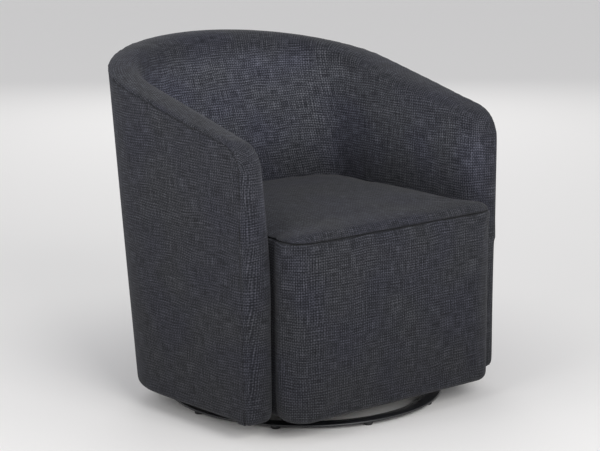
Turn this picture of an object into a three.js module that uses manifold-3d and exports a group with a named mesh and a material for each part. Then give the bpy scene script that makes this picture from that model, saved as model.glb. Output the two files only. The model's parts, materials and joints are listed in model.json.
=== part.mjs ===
// A barrel swivel rocker: an upholstered tub chair that rocks on a sprung cradle
// and turns on a round steel base.
// Millimetres, +Z up, the front of the chair faces -Y, and the origin is on the floor
// at the middle of its outline.
import * as THREE from "three";
import { mergeVertices } from "three/addons/utils/BufferGeometryUtils.js";
import Module from "manifold-3d";

const wasm = await Module();
wasm.setup();

// Overall sizes
const overallHeight = 773;
const rimWidth = 742; // across the widest part of the arms, at the top
const footWidth = 728; // across the widest part, at the underside
const armFrontRimWidth = 724; // over the outside of the two arm fronts, at the top
const armFrontFootWidth = 710; // the same, at the underside
const bodyClearance = 42; // floor to underside
const backTopReach = 375; // origin to the outside of the back, at the top
const backFootReach = 236; // the same, at the underside
const armFrontReach = 290; // origin to the arm fronts
const seatOverhang = 85; // how far the seat stands out in front of the arms
const seatFrontReach = armFrontReach + seatOverhang;
const widestRimY = 100; // where the arms are furthest apart, at the top
const widestFootY = 12; // the same, at the underside
const rimSquareness = 1.95; // 2 is an ellipse, and more is squarer
const footSquareness = 2.4;
const rimSlope = 0.23; // the rim's fall from back to front, as a tangent
const rimCornerRadius = 70; // where the rim turns down into the arm front
const weld = 0.001; // points closer than this are one point
const touch = 0.4; // left between pieces that touch
const bandSeamGap = 1; // left between the padded band and what it sits on

// Inside of the barrel
const seamHeight = 423; // floor to the seam round the seat's front edge
const backThicknessAtSeat = 116.4;
const backThicknessAtRim = 74;
const armThicknessAtFoot = 81;
const armThicknessAtRim = 83;
const armFrontThicknessAtFoot = 79;
const armFrontThicknessAtRim = 63;
const flareDrop = 53; // from the seam down to where the inside starts to flare
const flareRise = 137; // from the seam up to where it ends
const insideSquarenessAtSeat = 5.4;
const insideSquarenessAtRim = 2.1;
const cornerSeamSetIn = 11; // from the inside of the arms to the seams of the back and arms

// Upholstery
const coverThickness = 6; // fabric with its layer of wadding
const coverEdgeRadius = 16; // where the outside cover turns under
const coverHem = 36; // how far it runs in, underneath
const coverHemThickness = 5;
const bandThickness = 28; // the padded band along the rim and down the arm fronts
const bandSeamDepth = 7; // how far the band laps down the outside
const bandCrown = 1.5;
const bandOuterRound = 17;
const bandInnerRound = 24;
const footRound = 12; // at the lower end of the band
const faceRoundShare = 0.8; // how far its face draws back there
const footRoundShare = 0.35; // and how far its sides draw in
const frameDepth = 33; // from the outside to the rear of the pads, which is where the frame is
const padDrop = 113; // from the seam down to the lower edge of the pads
const padSeam = 3; // between the inside back and the inside arms
const seatSideGap = 3; // between the seat and the arm on each side
const seatWing = 10; // how much wider the seat is, on each side, in front of the arms
const wingShare = 0.8; // of that width, reached close to the arms
const seatCornerRadius = 50;
const seatCrown = 27;
const seatPadDepth = 29; // the part of the pad that drops inside the front panel
const seatPadInnerShare = 0.845; // its size there, against the pad's outline
const frontPanelThickness = 28;
const frontPanelLap = 50; // how far the panel's sides run back between the arms
const dustCoverThickness = 1.6;
const dustCoverHoleRadius = 228;

// Timber frame
const panelThickness = 6; // bent ply barrel
const ribHeight = 18;
const bottomRibHeight = 69;
const postWidth = 36;
const postRelief = 1.5; // a flat post stands clear of the curved wall
const armPostSetBack = 82; // from the arm front to the middle of the post
const backPostAngle = 32; // degrees round from the middle of the back
const railWidth = 38;
const crossRailHeight = 34;
const crossRailWidth = 40;
const crossRailEndGap = 2; // from the end of a cross rail to the frame's narrowest place
const sideRailHeight = 35;
const deckRailHeight = 30;
const deckDrop = 111; // from the seam down to the top of the deck rails
const frontBoardThickness = 12;
const frameRearGap = 52; // from the inside back to the rear of the seat frame
const deckSpringCount = 3;
const deckSpringSpacing = 125;
const deckSpringWidth = 48;
const deckSpringWire = 3.6;
const deckSpringBends = 12;

// Base
const swivelY = -54; // the swivel axis, from the origin
const glideHeight = 8;
const glideRadius = 11;
const glideCount = 9;
const glideTurn = 17.5; // degrees, where the first glide stands
const ringOuterRadius = 304;
const ringWidth = 30;
const ringThickness = 5;
const ringEdge = 1.5;
const spiderArmWidth = 30;
const spiderArmHeight = 5;
const hubRadius = 95;
const hubThickness = 6;
const raceInnerRadius = 62;
const raceOuterRadius = 88;
const raceThickness = 4;
const raceGroove = 2.5;
const ballRadius = 4;
const ballCount = 12;
const cageThickness = 1;
const cageWidth = 10;
const boltRadius = 8;
const boltHeadRadius = 14;
const boltHeadHeight = 5;
const nutRadius = 15;
const nutHeight = 7;

// Rocking cradle
const turnPlateLength = 290;
const turnPlateWidth = 220;
const turnPlateThickness = 3;
const turnPlateCorner = 30;
const steel = 3; // sheet thickness of the brackets and rails
const bracketOffset = 98; // swivel axis to the bracket's upright
const bracketReach = 150;
const flangeWidth = 44;
const pivotHeight = 68;
const pivotRadius = 6;
const pivotClearance = 0.4;
const pivotHeadRadius = 10;
const pivotHeadLength = 7;
const earRadius = 14;
const cradleRailReach = 165;
const cradleRailRise = 19; // pivot to the top of the rail
const cradleSpringReach = 80;
const cradleSpringRadius = 12;
const cradleSpringWire = 4;
const cradleSpringTurns = 4.5;
const stopReach = 130;
const stopRadius = 9;
const rockBackDegrees = 5.5;
const rockForwardDegrees = 4;

// Facets
const roundSides = 24;
const ringSides = 72;
const backSteps = 14;
const cornerSteps = 6;
const footSteps = 3;
const frontSteps = 5;
const postSteps = 5;
const settlingRounds = 8; // enough for a height that depends on itself
const overrun = 1; // how far a cut runs past what it cuts

// Colours
const charcoalCloth = new THREE.MeshStandardMaterial({ color: 0x36373c, roughness: 0.95, metalness: 0 });
const blackLining = new THREE.MeshStandardMaterial({ color: 0x17171a, roughness: 1, metalness: 0 });
const foam = new THREE.MeshStandardMaterial({ color: 0xd9cfa6, roughness: 0.95, metalness: 0 });
const timber = new THREE.MeshStandardMaterial({ color: 0xb98f5c, roughness: 0.7, metalness: 0 });
const blackSteel = new THREE.MeshStandardMaterial({ color: 0x1b1b1d, roughness: 0.45, metalness: 0.6 });
const zincSteel = new THREE.MeshStandardMaterial({ color: 0xa9abad, roughness: 0.35, metalness: 1 });
const blackPlastic = new THREE.MeshStandardMaterial({ color: 0x111112, roughness: 0.55, metalness: 0 });
const blackRubber = new THREE.MeshStandardMaterial({ color: 0x0e0e0e, roughness: 0.85, metalness: 0 });

const chair = new THREE.Group();
const baseGroup = new THREE.Group();
const turntable = new THREE.Group();
const body = new THREE.Group();
chair.add(baseGroup, turntable, body);

// Small mathematics
const lerp = (from, to, share) => from + (to - from) * share;
const clamp = (share) => Math.min(1, Math.max(0, share));
const smooth = (share) => clamp(share) ** 2 * (3 - 2 * clamp(share));
const radians = THREE.MathUtils.degToRad;
const quarter = Math.PI / 2;

function steps(from, to, count) {
  return Array.from({ length: count + 1 }, (_, i) => lerp(from, to, i / count));
}

// Solids
function addPiece(group, name, geometry, material, x = 0, y = 0, z = 0) {
  const mesh = new THREE.Mesh(geometry, material);
  mesh.name = name;
  mesh.position.set(x, y, z);
  group.add(mesh);
  return mesh;
}

function toSolid(geometry) {
  const bare = geometry.index ? geometry.toNonIndexed() : geometry.clone();
  bare.deleteAttribute("normal");
  bare.deleteAttribute("uv");
  const merged = mergeVertices(bare, weld);
  return new wasm.Manifold(
    new wasm.Mesh({
      numProp: 3,
      vertProperties: merged.attributes.position.array,
      triVerts: new Uint32Array(merged.index.array),
    }),
  );
}

function toGeometry(solid) {
  const mesh = solid.getMesh();
  const geometry = new THREE.BufferGeometry();
  geometry.setAttribute("position", new THREE.BufferAttribute(mesh.vertProperties, 3));
  geometry.setIndex(new THREE.BufferAttribute(mesh.triVerts, 1));
  return geometry;
}

function cut(geometry, ...tools) {
  const solids = tools.map(toSolid);
  return toGeometry(solids.reduce((left, tool) => left.subtract(tool), toSolid(geometry)));
}

function join(...geometries) {
  const solids = geometries.map(toSolid);
  return toGeometry(solids.reduce((sum, solid) => sum.add(solid)));
}

function meshFrom(points, index) {
  const geometry = new THREE.BufferGeometry().setFromPoints(points);
  geometry.setIndex(index);
  let volume = 0;
  for (let i = 0; i < index.length; i += 3) {
    const [a, b, c] = [points[index[i]], points[index[i + 1]], points[index[i + 2]]];
    volume += a.dot(b.clone().cross(c));
  }
  if (volume < 0) {
    geometry.setIndex(index.map((_, i) => index[i - (i % 3) + [0, 2, 1][i % 3]]));
  }
  return geometry;
}

// The faces of a flat end, wound the same way round as its ring of points.
function endFaces(ring) {
  const normal = new THREE.Vector3();
  ring.forEach((p, i) => normal.add(p.clone().cross(ring[(i + 1) % ring.length])));
  const across = ring[1].clone().sub(ring[0]).normalize();
  const up = normal.clone().normalize().cross(across);
  const flat = ring.map((p) => new THREE.Vector2(p.dot(across), p.dot(up)));
  const faces = THREE.ShapeUtils.triangulateShape(flat, []);
  const areas = faces.map((face) => THREE.ShapeUtils.area(face.map((i) => flat[i])));
  const total = areas.reduce((sum, area) => sum + area, 0);
  return total * THREE.ShapeUtils.area(flat) < 0 ? faces.map((face) => face.toReversed()) : faces;
}

// The same for the ring of a two-sided wall, whose points run along one side and back along the other.
function wallEndFaces(ring) {
  const last = ring.length - 1;
  const rungs = Array.from({ length: ring.length / 2 - 1 }, (_, i) => i);
  return rungs.flatMap((i) => [[i, i + 1, last - i], [i + 1, last - i - 1, last - i]]);
}

// A closed solid through a row of rings that have as many points each.
function loft(rings, capFaces = endFaces) {
  const count = rings[0].length;
  const index = [];
  for (let i = 0; i + 1 < rings.length; i++) {
    for (let j = 0; j < count; j++) {
      const [a, b] = [i * count + j, i * count + ((j + 1) % count)];
      index.push(a, b, b + count, a, b + count, a + count);
    }
  }
  const last = (rings.length - 1) * count;
  capFaces(rings[0]).forEach((face) => index.push(...face.toReversed()));
  capFaces(rings.at(-1)).forEach((face) => index.push(...face.map((i) => i + last)));
  return meshFrom(rings.flat(), index);
}

function block(x0, x1, y0, y1, z0, z1) {
  const geometry = new THREE.BoxGeometry(x1 - x0, y1 - y0, z1 - z0);
  return geometry.translate((x0 + x1) / 2, (y0 + y1) / 2, (z0 + z1) / 2);
}

// A round bar along Z, from z0 to z1.
function bar(radius, z0, z1, sides = roundSides) {
  const geometry = new THREE.CylinderGeometry(radius, radius, z1 - z0, sides);
  return geometry.rotateX(quarter).translate(0, 0, (z0 + z1) / 2);
}

// A ring about Z from its section, a closed loop of [radius, height] pairs.
function turned(section, sides = ringSides) {
  const loop = [...section, section[0]].map(([r, z]) => new THREE.Vector2(r, z));
  const geometry = new THREE.LatheGeometry(loop, sides).rotateX(quarter);
  return toGeometry(outward(geometry));
}

function outward(geometry) {
  const solid = toSolid(geometry);
  if (solid.volume() > 0) return solid;
  const flipped = geometry.clone();
  flipped.setIndex(Array.from(flipped.index.array).toReversed());
  return toSolid(flipped);
}

// A flat sheet from an outline of [x, y] pairs, from z0 to z1, with round holes of [x, y, radius].
function sheet(outline, z0, z1, holes = []) {
  const shape = new THREE.Shape(outline.map(([x, y]) => new THREE.Vector2(x, y)));
  for (const [x, y, radius] of holes) {
    const hole = new THREE.Path();
    hole.absarc(x, y, radius, 0, 2 * Math.PI, true);
    shape.holes.push(hole);
  }
  const settings = { depth: z1 - z0, bevelEnabled: false, curveSegments: roundSides / 2 };
  return new THREE.ExtrudeGeometry(shape, settings).translate(0, 0, z0);
}

// The barrel: a place on it is a height z and t, which runs from -1 at the left arm front
// round the back to 1 at the right one.
const backShare = 0.6; // the share of t that lies behind the widest place
const settledShare = 0.9; // from this share of a side on, a place has the same y at every height
const sideBow = 1.5;
const barrelTop = overallHeight - bandCrown;
const sideLength = widestRimY + armFrontReach;
const heightShare = (z) => (z - bodyClearance) / (barrelTop - bodyClearance);
const backReach = (z) => lerp(backFootReach, backTopReach, heightShare(z));
const widestY = (z) => lerp(widestFootY, widestRimY, heightShare(z));

// The outline at one height: part of a superellipse round the back, then a bowed side to the arm front.
function outlinePoint(t, z, { halfWidth, frontHalfWidth, reach, squareness }) {
  const middle = widestY(z);
  if (Math.abs(t) > backShare) {
    const share = (Math.abs(t) - backShare) / (1 - backShare);
    const x = lerp(halfWidth, frontHalfWidth, share ** sideBow);
    const shift = (middle - widestRimY) * Math.max(0, 1 - share / settledShare) ** 2;
    return new THREE.Vector2(Math.sign(t) * x, widestRimY - share * sideLength + shift);
  }
  const angle = (Math.abs(t) / backShare) * quarter;
  const [s, c] = [Math.sin(angle), Math.abs(Math.cos(angle))];
  const size = (s ** squareness + c ** squareness) ** (-1 / squareness);
  return new THREE.Vector2(Math.sign(t) * halfWidth * size * s, lerp(middle, reach, size * c));
}

function outside(t, z) {
  const share = heightShare(z);
  return outlinePoint(t, z, {
    halfWidth: lerp(footWidth, rimWidth, share) / 2,
    frontHalfWidth: lerp(armFrontFootWidth, armFrontRimWidth, share) / 2,
    reach: backReach(z),
    squareness: lerp(footSquareness, rimSquareness, share),
  });
}

const padFoot = seamHeight - padDrop;
const insideBackReachAtSeat = backReach(seamHeight) - backThicknessAtSeat;
const insideBackReachAtRim = backTopReach - backThicknessAtRim;
const insideFlareStart = seamHeight - flareDrop;
const insideFlareEnd = seamHeight + flareRise;
const insideHalfAtFoot = footWidth / 2 - armThicknessAtFoot;
const insideHalfAtRim = rimWidth / 2 - armThicknessAtRim;
const insideFrontHalfAtFoot = armFrontFootWidth / 2 - armFrontThicknessAtFoot;
const insideFrontHalfAtRim = armFrontRimWidth / 2 - armFrontThicknessAtRim;
const insideSeamReach = Math.min(insideHalfAtFoot, insideHalfAtRim) - cornerSeamSetIn;

function insideOutline(z) {
  const flare = smooth((z - insideFlareStart) / (insideFlareEnd - insideFlareStart));
  const rise = (Math.max(z, padFoot) - seamHeight) / (barrelTop - seamHeight);
  return {
    halfWidth: lerp(insideHalfAtFoot, insideHalfAtRim, flare),
    frontHalfWidth: lerp(insideFrontHalfAtFoot, insideFrontHalfAtRim, flare),
    reach: lerp(insideBackReachAtSeat, insideBackReachAtRim, rise),
    squareness: lerp(insideSquarenessAtSeat, insideSquarenessAtRim, clamp(rise)),
  };
}

const inside = (t, z) => outlinePoint(t, z, insideOutline(z));

// The place of a y near the arm front, which is the same at every height there.
const frontT = (y) => backShare + ((widestRimY - y) / sideLength) * (1 - backShare);

// The place of the upright seam between the inside back and an inside arm.
function seamT(z) {
  const { halfWidth, squareness } = insideOutline(z);
  const across = insideSeamReach / halfWidth;
  const along = (1 - across ** squareness) ** (1 / squareness);
  return (Math.atan2(across, along) / quarter) * backShare;
}

const wallWidth = (t, z) => outside(t, z).distanceTo(inside(t, z));

// A point in the wall, a depth in from the outside.
function wallPoint(t, z, depth) {
  const place = outside(t, z).lerp(inside(t, z), depth / wallWidth(t, z));
  return new THREE.Vector3(place.x, place.y, z);
}

// The rim: a straight slope seen from the side, with a round corner down to the arm front.
const slopeStretch = Math.hypot(1, rimSlope);
const rimLine = (y) => barrelTop - rimSlope * (backTopReach - y);
const cornerY = rimCornerRadius - armFrontReach;
const cornerZ = rimLine(cornerY) - rimCornerRadius * slopeStretch;
const slopeAngle = Math.atan(rimSlope);

// The rim's line moved inwards by a depth.
function insetRim(y, depth) {
  const radius = rimCornerRadius - depth;
  if (y >= cornerY - radius * Math.sin(slopeAngle)) return rimLine(y) - depth * slopeStretch;
  return cornerZ + Math.sqrt(Math.max(0, radius ** 2 - (y - cornerY) ** 2));
}

// The height of that line at t, where y depends on the height a little.
function topAt(t, depth) {
  let z = barrelTop;
  for (let i = 0; i < settlingRounds; i++) z = insetRim(outside(t, z).y, depth);
  return z;
}

// Stations along one side of the barrel, from the middle of the back to where y is endY.
const sideShares = [0.15, 0.3, 0.45, 0.6, 0.72];
const cornerAngles = steps(quarter + slopeAngle, Math.PI, cornerSteps);
const cornerYs = cornerAngles.map((angle) => cornerY + rimCornerRadius * Math.cos(angle));
const standardT = [
  ...steps(0, backShare, backSteps),
  ...sideShares.map((share) => lerp(backShare, 1, share)),
  ...cornerYs.map(frontT),
];

function halfStations(endT, startT = 0) {
  const inner = standardT.filter((t) => t > startT + weld && t < endT - weld);
  return [startT, ...inner, endT];
}

function stations(endT) {
  const half = halfStations(endT);
  return [...half.slice(1).toReversed().map((t) => -t), ...half];
}

const bandBack = armFrontReach - bandThickness - bandSeamGap; // what lies behind the band stops here
const behindBandT = frontT(-bandBack);
const underBand = bandThickness + bandSeamGap;

// Outside cover: one skin round the barrel, turned under at the foot
const wallLevelShares = [0.75, 0.5, 0.25];
const wallLevels = (t) => wallLevelShares.map((share) => lerp(bodyClearance, topAt(t, 0), share));
const coverFrontT = frontT(bandSeamDepth + 2 * bandSeamGap - armFrontReach);
const hemEndT = frontT(touch - bandBack);
const noHemT = frontT(-bandBack);
const coverStations = [...stations(coverFrontT), hemEndT, noHemT, -hemEndT, -noHemT].sort((a, b) => a - b);

function coverSection(t) {
  const top = topAt(t, bandSeamDepth + bandSeamGap);
  const hemmed = Math.abs(t) <= hemEndT;
  const hem = hemmed ? coverHem : coverThickness;
  const inner = hemmed ? coverThickness + coverEdgeRadius : coverThickness + touch;
  const floor = bodyClearance;
  const levels = [top, ...wallLevels(t), floor + coverEdgeRadius];
  const points = levels.slice(0, -1).map((z) => [0, z]);
  for (const angle of steps(0, quarter, 4)) {
    const sweep = hemmed ? coverEdgeRadius : coverThickness / 2;
    points.push([sweep * (1 - Math.cos(angle)), floor + coverEdgeRadius * (1 - Math.sin(angle))]);
  }
  points.push([hem, floor], [hem, floor + coverHemThickness]);
  points.push([inner - touch, floor + coverHemThickness + touch]);
  points.push(...levels.toReversed().map((z) => [coverThickness, z]));
  return points.map(([depth, z]) => wallPoint(t, z, depth));
}

addPiece(body, "outside_cover", loft(coverStations.map(coverSection)), charcoalCloth);

// Padded band: along the rim and down both arm fronts. Its rear face follows the rim's line, moved inwards.
function bandPoint(place, depth, inwards) {
  const [normalY, normalZ] = place.normal;
  const upright = normalZ * Math.cos(slopeAngle) - normalY * Math.sin(slopeAngle);
  const length = place.onSlope ? depth / upright : depth;
  const z = place.z - normalZ * length;
  const t = place.t + ((normalY * length) / sideLength) * (1 - backShare);
  return wallPoint(place.side * t, z, inwards(wallWidth(t, z)));
}

const near = (depth) => () => depth;
const far = (depth) => (width) => width - depth;
const bandOutline = [
  [bandSeamDepth, near(0)],
  [bandSeamDepth / 2, near(bandOuterRound / 16)],
  [bandSeamDepth / 8, near(bandOuterRound / 3)],
  [-bandCrown / 2, near(bandOuterRound)],
  [-bandCrown, (width) => width / 2],
  [0, far(bandInnerRound)],
  [bandInnerRound / 8, far(bandInnerRound / 2)],
  [bandInnerRound / 2, far(bandInnerRound / 8)],
  [bandInnerRound, far(0)],
  [bandThickness, far(0)],
  [bandThickness, near(coverThickness + touch)],
  [bandSeamDepth, near(coverThickness + touch)],
];

// A section of the band. Its face is drawn in where the band is rounded off.
function bandSection(place) {
  const drawn = place.drawnIn ?? 0;
  return bandOutline.map(([depth, inwards]) => {
    const drawnDepth = lerp(depth, Math.max(depth, bandSeamDepth), drawn);
    return bandPoint(place, drawnDepth, (width) => lerp(inwards(width), width / 2, drawn * footRoundShare));
  });
}

function bandPlaces(side) {
  const places = [];
  for (const angle of steps(quarter, 0, footSteps)) {
    const z = bodyClearance + footRound * (1 - Math.sin(angle));
    const drawnIn = (1 - Math.cos(angle)) * faceRoundShare;
    places.push({ side, t: 1, z, normal: [-1, 0], drawnIn });
  }
  for (const z of steps(bodyClearance + footRound, cornerZ, frontSteps).slice(1, -1)) {
    places.push({ side, t: 1, z, normal: [-1, 0] });
  }
  for (const angle of cornerAngles.toReversed().slice(0, -1)) {
    const normal = [Math.cos(angle), Math.sin(angle)];
    const y = cornerY + rimCornerRadius * normal[0];
    places.push({ side, t: frontT(y), z: cornerZ + rimCornerRadius * normal[1], normal });
  }
  for (const t of standardT.filter((s) => s <= frontT(cornerYs[0]) + weld).toReversed()) {
    const upright = smooth((1 - t - (1 - frontT(cornerYs[0]))) / (frontT(cornerYs[0]) - backShare));
    const lean = slopeAngle * (1 - upright);
    places.push({ side, t, z: topAt(t, 0), normal: [-Math.sin(lean), Math.cos(lean)], onSlope: true });
  }
  return places;
}

const bandRight = bandPlaces(1).slice(0, -1).toReversed();
addPiece(body, "rim_band", loft([...bandPlaces(-1), ...bandRight].map(bandSection)), charcoalCloth);

// Inside back and inside arms: foam pads with their covers
const padLevelShares = [0, 0.25, 0.45, 0.65, 0.85, 1];
const meanSeamT = seamT((padFoot + barrelTop) / 2);

// A section of a pad. Its place can change with the height, so that a seam keeps its own line.
function padSection(placeAt) {
  const levels = padLevelShares.map((share) => {
    let z = barrelTop;
    for (let i = 0; i < settlingRounds; i++) z = lerp(padFoot, topAt(placeAt(z), underBand), share);
    return [placeAt(z), z];
  });
  const face = levels.map(([t, z]) => wallPoint(t, z, wallWidth(t, z)));
  const rear = levels.toReversed().map(([t, z]) => wallPoint(t, z, frameDepth));
  return [...face, ...rear];
}

const padSeamT = padSeam / (sideLength / (1 - backShare));
const backShares = steps(-1, 1, 2 * backSteps);
const insideBack = backShares.map((share) => padSection((z) => share * (seamT(z) - padSeamT)));
addPiece(body, "inside_back", loft(insideBack, wallEndFaces), charcoalCloth);
const armStations = halfStations(behindBandT, meanSeamT);
const armShares = armStations.map((t) => (t - meanSeamT) / (behindBandT - meanSeamT));
for (const [name, side] of [["inside_arm_left", -1], ["inside_arm_right", 1]]) {
  const rings = armShares.map((share) => {
    return padSection((z) => side * lerp(seamT(z) + padSeamT, behindBandT, share));
  });
  addPiece(body, name, loft(rings, wallEndFaces), charcoalCloth);
}

// Seat: a crowned pad over a front panel that wraps round into the arms
const seatHalfWidth = (z) => inside(1, z).x - seatSideGap;
const frontPanelReturn = armFrontReach - frontPanelLap;

// The right half of the panel's path. Each place on it is a function of the height
// and the depth in from the face.
function frontHalf() {
  const places = [
    (z, depth) => [seatHalfWidth(z) - depth, -frontPanelReturn],
    (z, depth) => [seatHalfWidth(z) - depth, -armFrontReach - seatSideGap],
    (z, depth) => [seatHalfWidth(z) + seatWing * wingShare - depth, -armFrontReach - seatWing],
  ];
  for (const angle of steps(0, quarter, cornerSteps)) {
    places.push((z, depth) => {
      const radius = seatCornerRadius - depth;
      const x = seatHalfWidth(z) + seatWing - seatCornerRadius + radius * Math.cos(angle);
      return [x, seatCornerRadius - seatFrontReach - radius * Math.sin(angle)];
    });
  }
  for (const share of [2 / 3, 1 / 3, 0]) {
    const straight = (z) => seatHalfWidth(z) + seatWing - seatCornerRadius;
    places.push((z, depth) => [share * straight(z), depth - seatFrontReach]);
  }
  return places;
}

function frontPath() {
  const left = frontHalf().slice(0, -1).toReversed();
  return [...frontHalf(), ...left.map((place) => (z, depth) => [-place(z, depth)[0], place(z, depth)[1]])];
}

function frontSection(place) {
  const levels = [seamHeight, lerp(insideFlareStart, seamHeight, 0.5), insideFlareStart];
  const face = levels.map((z) => [0, z]);
  for (const angle of steps(0, quarter, 4)) {
    const [s, c] = [Math.sin(angle), Math.cos(angle)];
    face.push([coverEdgeRadius * (1 - c), bodyClearance + coverEdgeRadius * (1 - s)]);
  }
  const rear = [bodyClearance, ...levels.toReversed()].map((z) => [frontPanelThickness, z]);
  return [...face, ...rear].map(([depth, z]) => new THREE.Vector3(...place(z, depth), z));
}

addPiece(body, "front_panel", loft(frontPath().map(frontSection)), charcoalCloth);

function seatOutline() {
  const right = frontHalf().slice(1).toReversed().map((place) => place(seamHeight, 0));
  for (const t of halfStations(1, 0).toReversed().filter((s) => s < frontT(-frontPanelReturn))) {
    const place = inside(t, seamHeight);
    const inwards = place.clone().sub(new THREE.Vector2(0, swivelY)).setLength(seatSideGap);
    right.push([place.x - inwards.x, place.y - inwards.y]);
  }
  const left = right.slice(1, -1).toReversed().map(([x, y]) => [-x, y]);
  return [...right, ...left];
}

const seatMiddleY = (insideBackReachAtSeat - seatFrontReach) / 2;
const crownShares = [1, 0.985, 0.955, 0.89, 0.78, 0.6, 0.3];

function seatRing(share, z) {
  return seatOutline().map(([x, y]) => new THREE.Vector3(x * share, lerp(seatMiddleY, y, share), z));
}

const crownRings = crownShares.map((share) => {
  const rise = seatCrown * (1 - share ** 6);
  return seatRing(share, seamHeight + touch + rise);
});
const seatRings = [
  seatRing(seatPadInnerShare, seamHeight - seatPadDepth),
  seatRing(seatPadInnerShare, seamHeight + touch),
  ...crownRings,
];
addPiece(body, "seat_pad", loft(seatRings), charcoalCloth);

// Barrel frame: bent ply, two ribs and four posts
const panelDepth = coverThickness + 2 * touch;
const ribDepth = panelDepth + panelThickness + touch;

function panelSection(t) {
  const top = topAt(t, underBand);
  const foot = bodyClearance + coverHemThickness + coverEdgeRadius;
  const levels = [top, ...wallLevels(t), foot];
  const face = levels.map((z) => wallPoint(t, z, panelDepth));
  return [...face, ...levels.toReversed().map((z) => wallPoint(t, z, panelDepth + panelThickness))];
}

addPiece(body, "barrel_panel", loft(stations(behindBandT).map(panelSection)), timber);

const ribBack = frameDepth - 2 * touch;

function ribSection(t, foot, top) {
  return [[ribDepth, foot], [ribDepth, top], [ribBack, top], [ribBack, foot]]
    .map(([depth, z]) => wallPoint(t, z, depth));
}

const bottomRibTop = bottomRibHeight + ribHeight;
const bottomRib = stations(behindBandT).map((t) => ribSection(t, bottomRibHeight, bottomRibTop));
addPiece(body, "bottom_rib", loft(bottomRib), timber);

const ribTopDepth = underBand + touch;
const armPostFront = armFrontReach - armPostSetBack + postWidth / 2;
const topRibT = frontT(-armPostFront);
const topRib = stations(topRibT).map((t) => {
  return ribSection(t, topAt(t, ribTopDepth + ribHeight), topAt(t, ribTopDepth));
});
addPiece(body, "top_rib", loft(topRib), timber);

const postFoot = bottomRibTop + touch;
const postFace = ribDepth + postRelief;
const postBack = ribBack - postRelief;

// A post is bent as the wall is.
function post(fromT, toT) {
  const corners = [[fromT, postFace], [toT, postFace], [toT, postBack], [fromT, postBack]];
  const rings = steps(0, 1, postSteps).map((share) => corners.map(([t, depth]) => {
    const top = topAt(t, ribTopDepth + ribHeight + touch);
    return wallPoint(t, lerp(postFoot, top, share), depth);
  }));
  return loft(rings);
}

const backPostT = (backPostAngle / 90) * backShare;
const backPostHalfT = postWidth / 2 / (sideLength / (1 - backShare));
for (const [name, side] of [["arm_post_left", -1], ["arm_post_right", 1]]) {
  const [fromT, toT] = [frontT(-armPostFront + postWidth), frontT(-armPostFront)];
  addPiece(body, name, post(side * fromT, side * toT), timber);
}
for (const [name, side] of [["back_post_left", -1], ["back_post_right", 1]]) {
  const [fromT, toT] = [side * (backPostT - backPostHalfT), side * (backPostT + backPostHalfT)];
  addPiece(body, name, post(fromT, toT), timber);
}

// Seat frame: rails, posts, springs and foam
const railTop = pivotHeight + cradleRailRise; // top of the steel cradle rails
const crossRailFoot = railTop + touch;
const sideRailFoot = crossRailFoot + crossRailHeight + touch;
const cornerPostFoot = sideRailFoot + sideRailHeight + touch;
const deckTop = seamHeight - deckDrop;
const deckFoot = deckTop - deckRailHeight;
const frameRearReach = insideBackReachAtSeat - frameRearGap;
const crossRailLength = Math.min(footWidth, armFrontFootWidth) - 2 * (frameDepth + crossRailEndGap);
const frameSideReach = Math.min(insideFrontHalfAtFoot, insideHalfAtFoot) - seatSideGap;
const frameHalfWidth = frameSideReach - frontPanelThickness - touch;
const boardHalfWidth = seatHalfWidth(bodyClearance) - seatCornerRadius;
const boardFace = frontPanelThickness + touch - seatFrontReach;
const frameFrontY = seatCornerRadius - seatFrontReach;
const boardFoot = bodyClearance + coverHemThickness + touch;
const boardBack = boardFace + frontBoardThickness;

const frontBoard = block(-boardHalfWidth, boardHalfWidth, boardFace, boardBack, boardFoot, deckTop);
addPiece(body, "front_board", frontBoard, timber);

for (const [name, y] of [["cross_rail_front", -stopReach], ["cross_rail_rear", stopReach]]) {
  const rail = new THREE.BoxGeometry(crossRailLength, crossRailWidth, crossRailHeight);
  addPiece(body, name, rail, timber, 0, swivelY + y, crossRailFoot + crossRailHeight / 2);
}

const frameEnds = [["front", frameFrontY + railWidth / 2], ["rear", frameRearReach - railWidth / 2]];
for (const [name, side] of [["left", -1], ["right", 1]]) {
  const length = frameRearReach - frameFrontY;
  const x = side * (frameHalfWidth - railWidth / 2);
  const y = (frameFrontY + frameRearReach) / 2;
  const sideRail = new THREE.BoxGeometry(railWidth, length, sideRailHeight);
  addPiece(body, `side_rail_${name}`, sideRail, timber, x, y, sideRailFoot + sideRailHeight / 2);
  const postHeight = deckFoot - touch - cornerPostFoot;
  for (const [place, postY] of frameEnds) {
    const cornerPost = new THREE.BoxGeometry(railWidth, railWidth, postHeight);
    const postMiddle = cornerPostFoot + postHeight / 2;
    addPiece(body, `corner_post_${place}_${name}`, cornerPost, timber, x, postY, postMiddle);
  }
}

for (const [name, y] of frameEnds) {
  const rail = new THREE.BoxGeometry(2 * frameHalfWidth, railWidth, deckRailHeight);
  addPiece(body, `deck_rail_${name}`, rail, timber, 0, y, deckFoot + deckRailHeight / 2);
}

// A wire along points, as a closed solid.
function wire(points, diameter, sides, samples) {
  const curve = new THREE.CatmullRomCurve3(points, false, "catmullrom", 0.5);
  const section = new THREE.Shape();
  steps(0, 2 * Math.PI, sides).slice(0, -1).forEach((angle, i) => {
    const [x, y] = [(diameter / 2) * Math.cos(angle), (diameter / 2) * Math.sin(angle)];
    if (i) section.lineTo(x, y);
    else section.moveTo(x, y);
  });
  return new THREE.ExtrudeGeometry(section, { steps: samples, bevelEnabled: false, extrudePath: curve });
}

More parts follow.
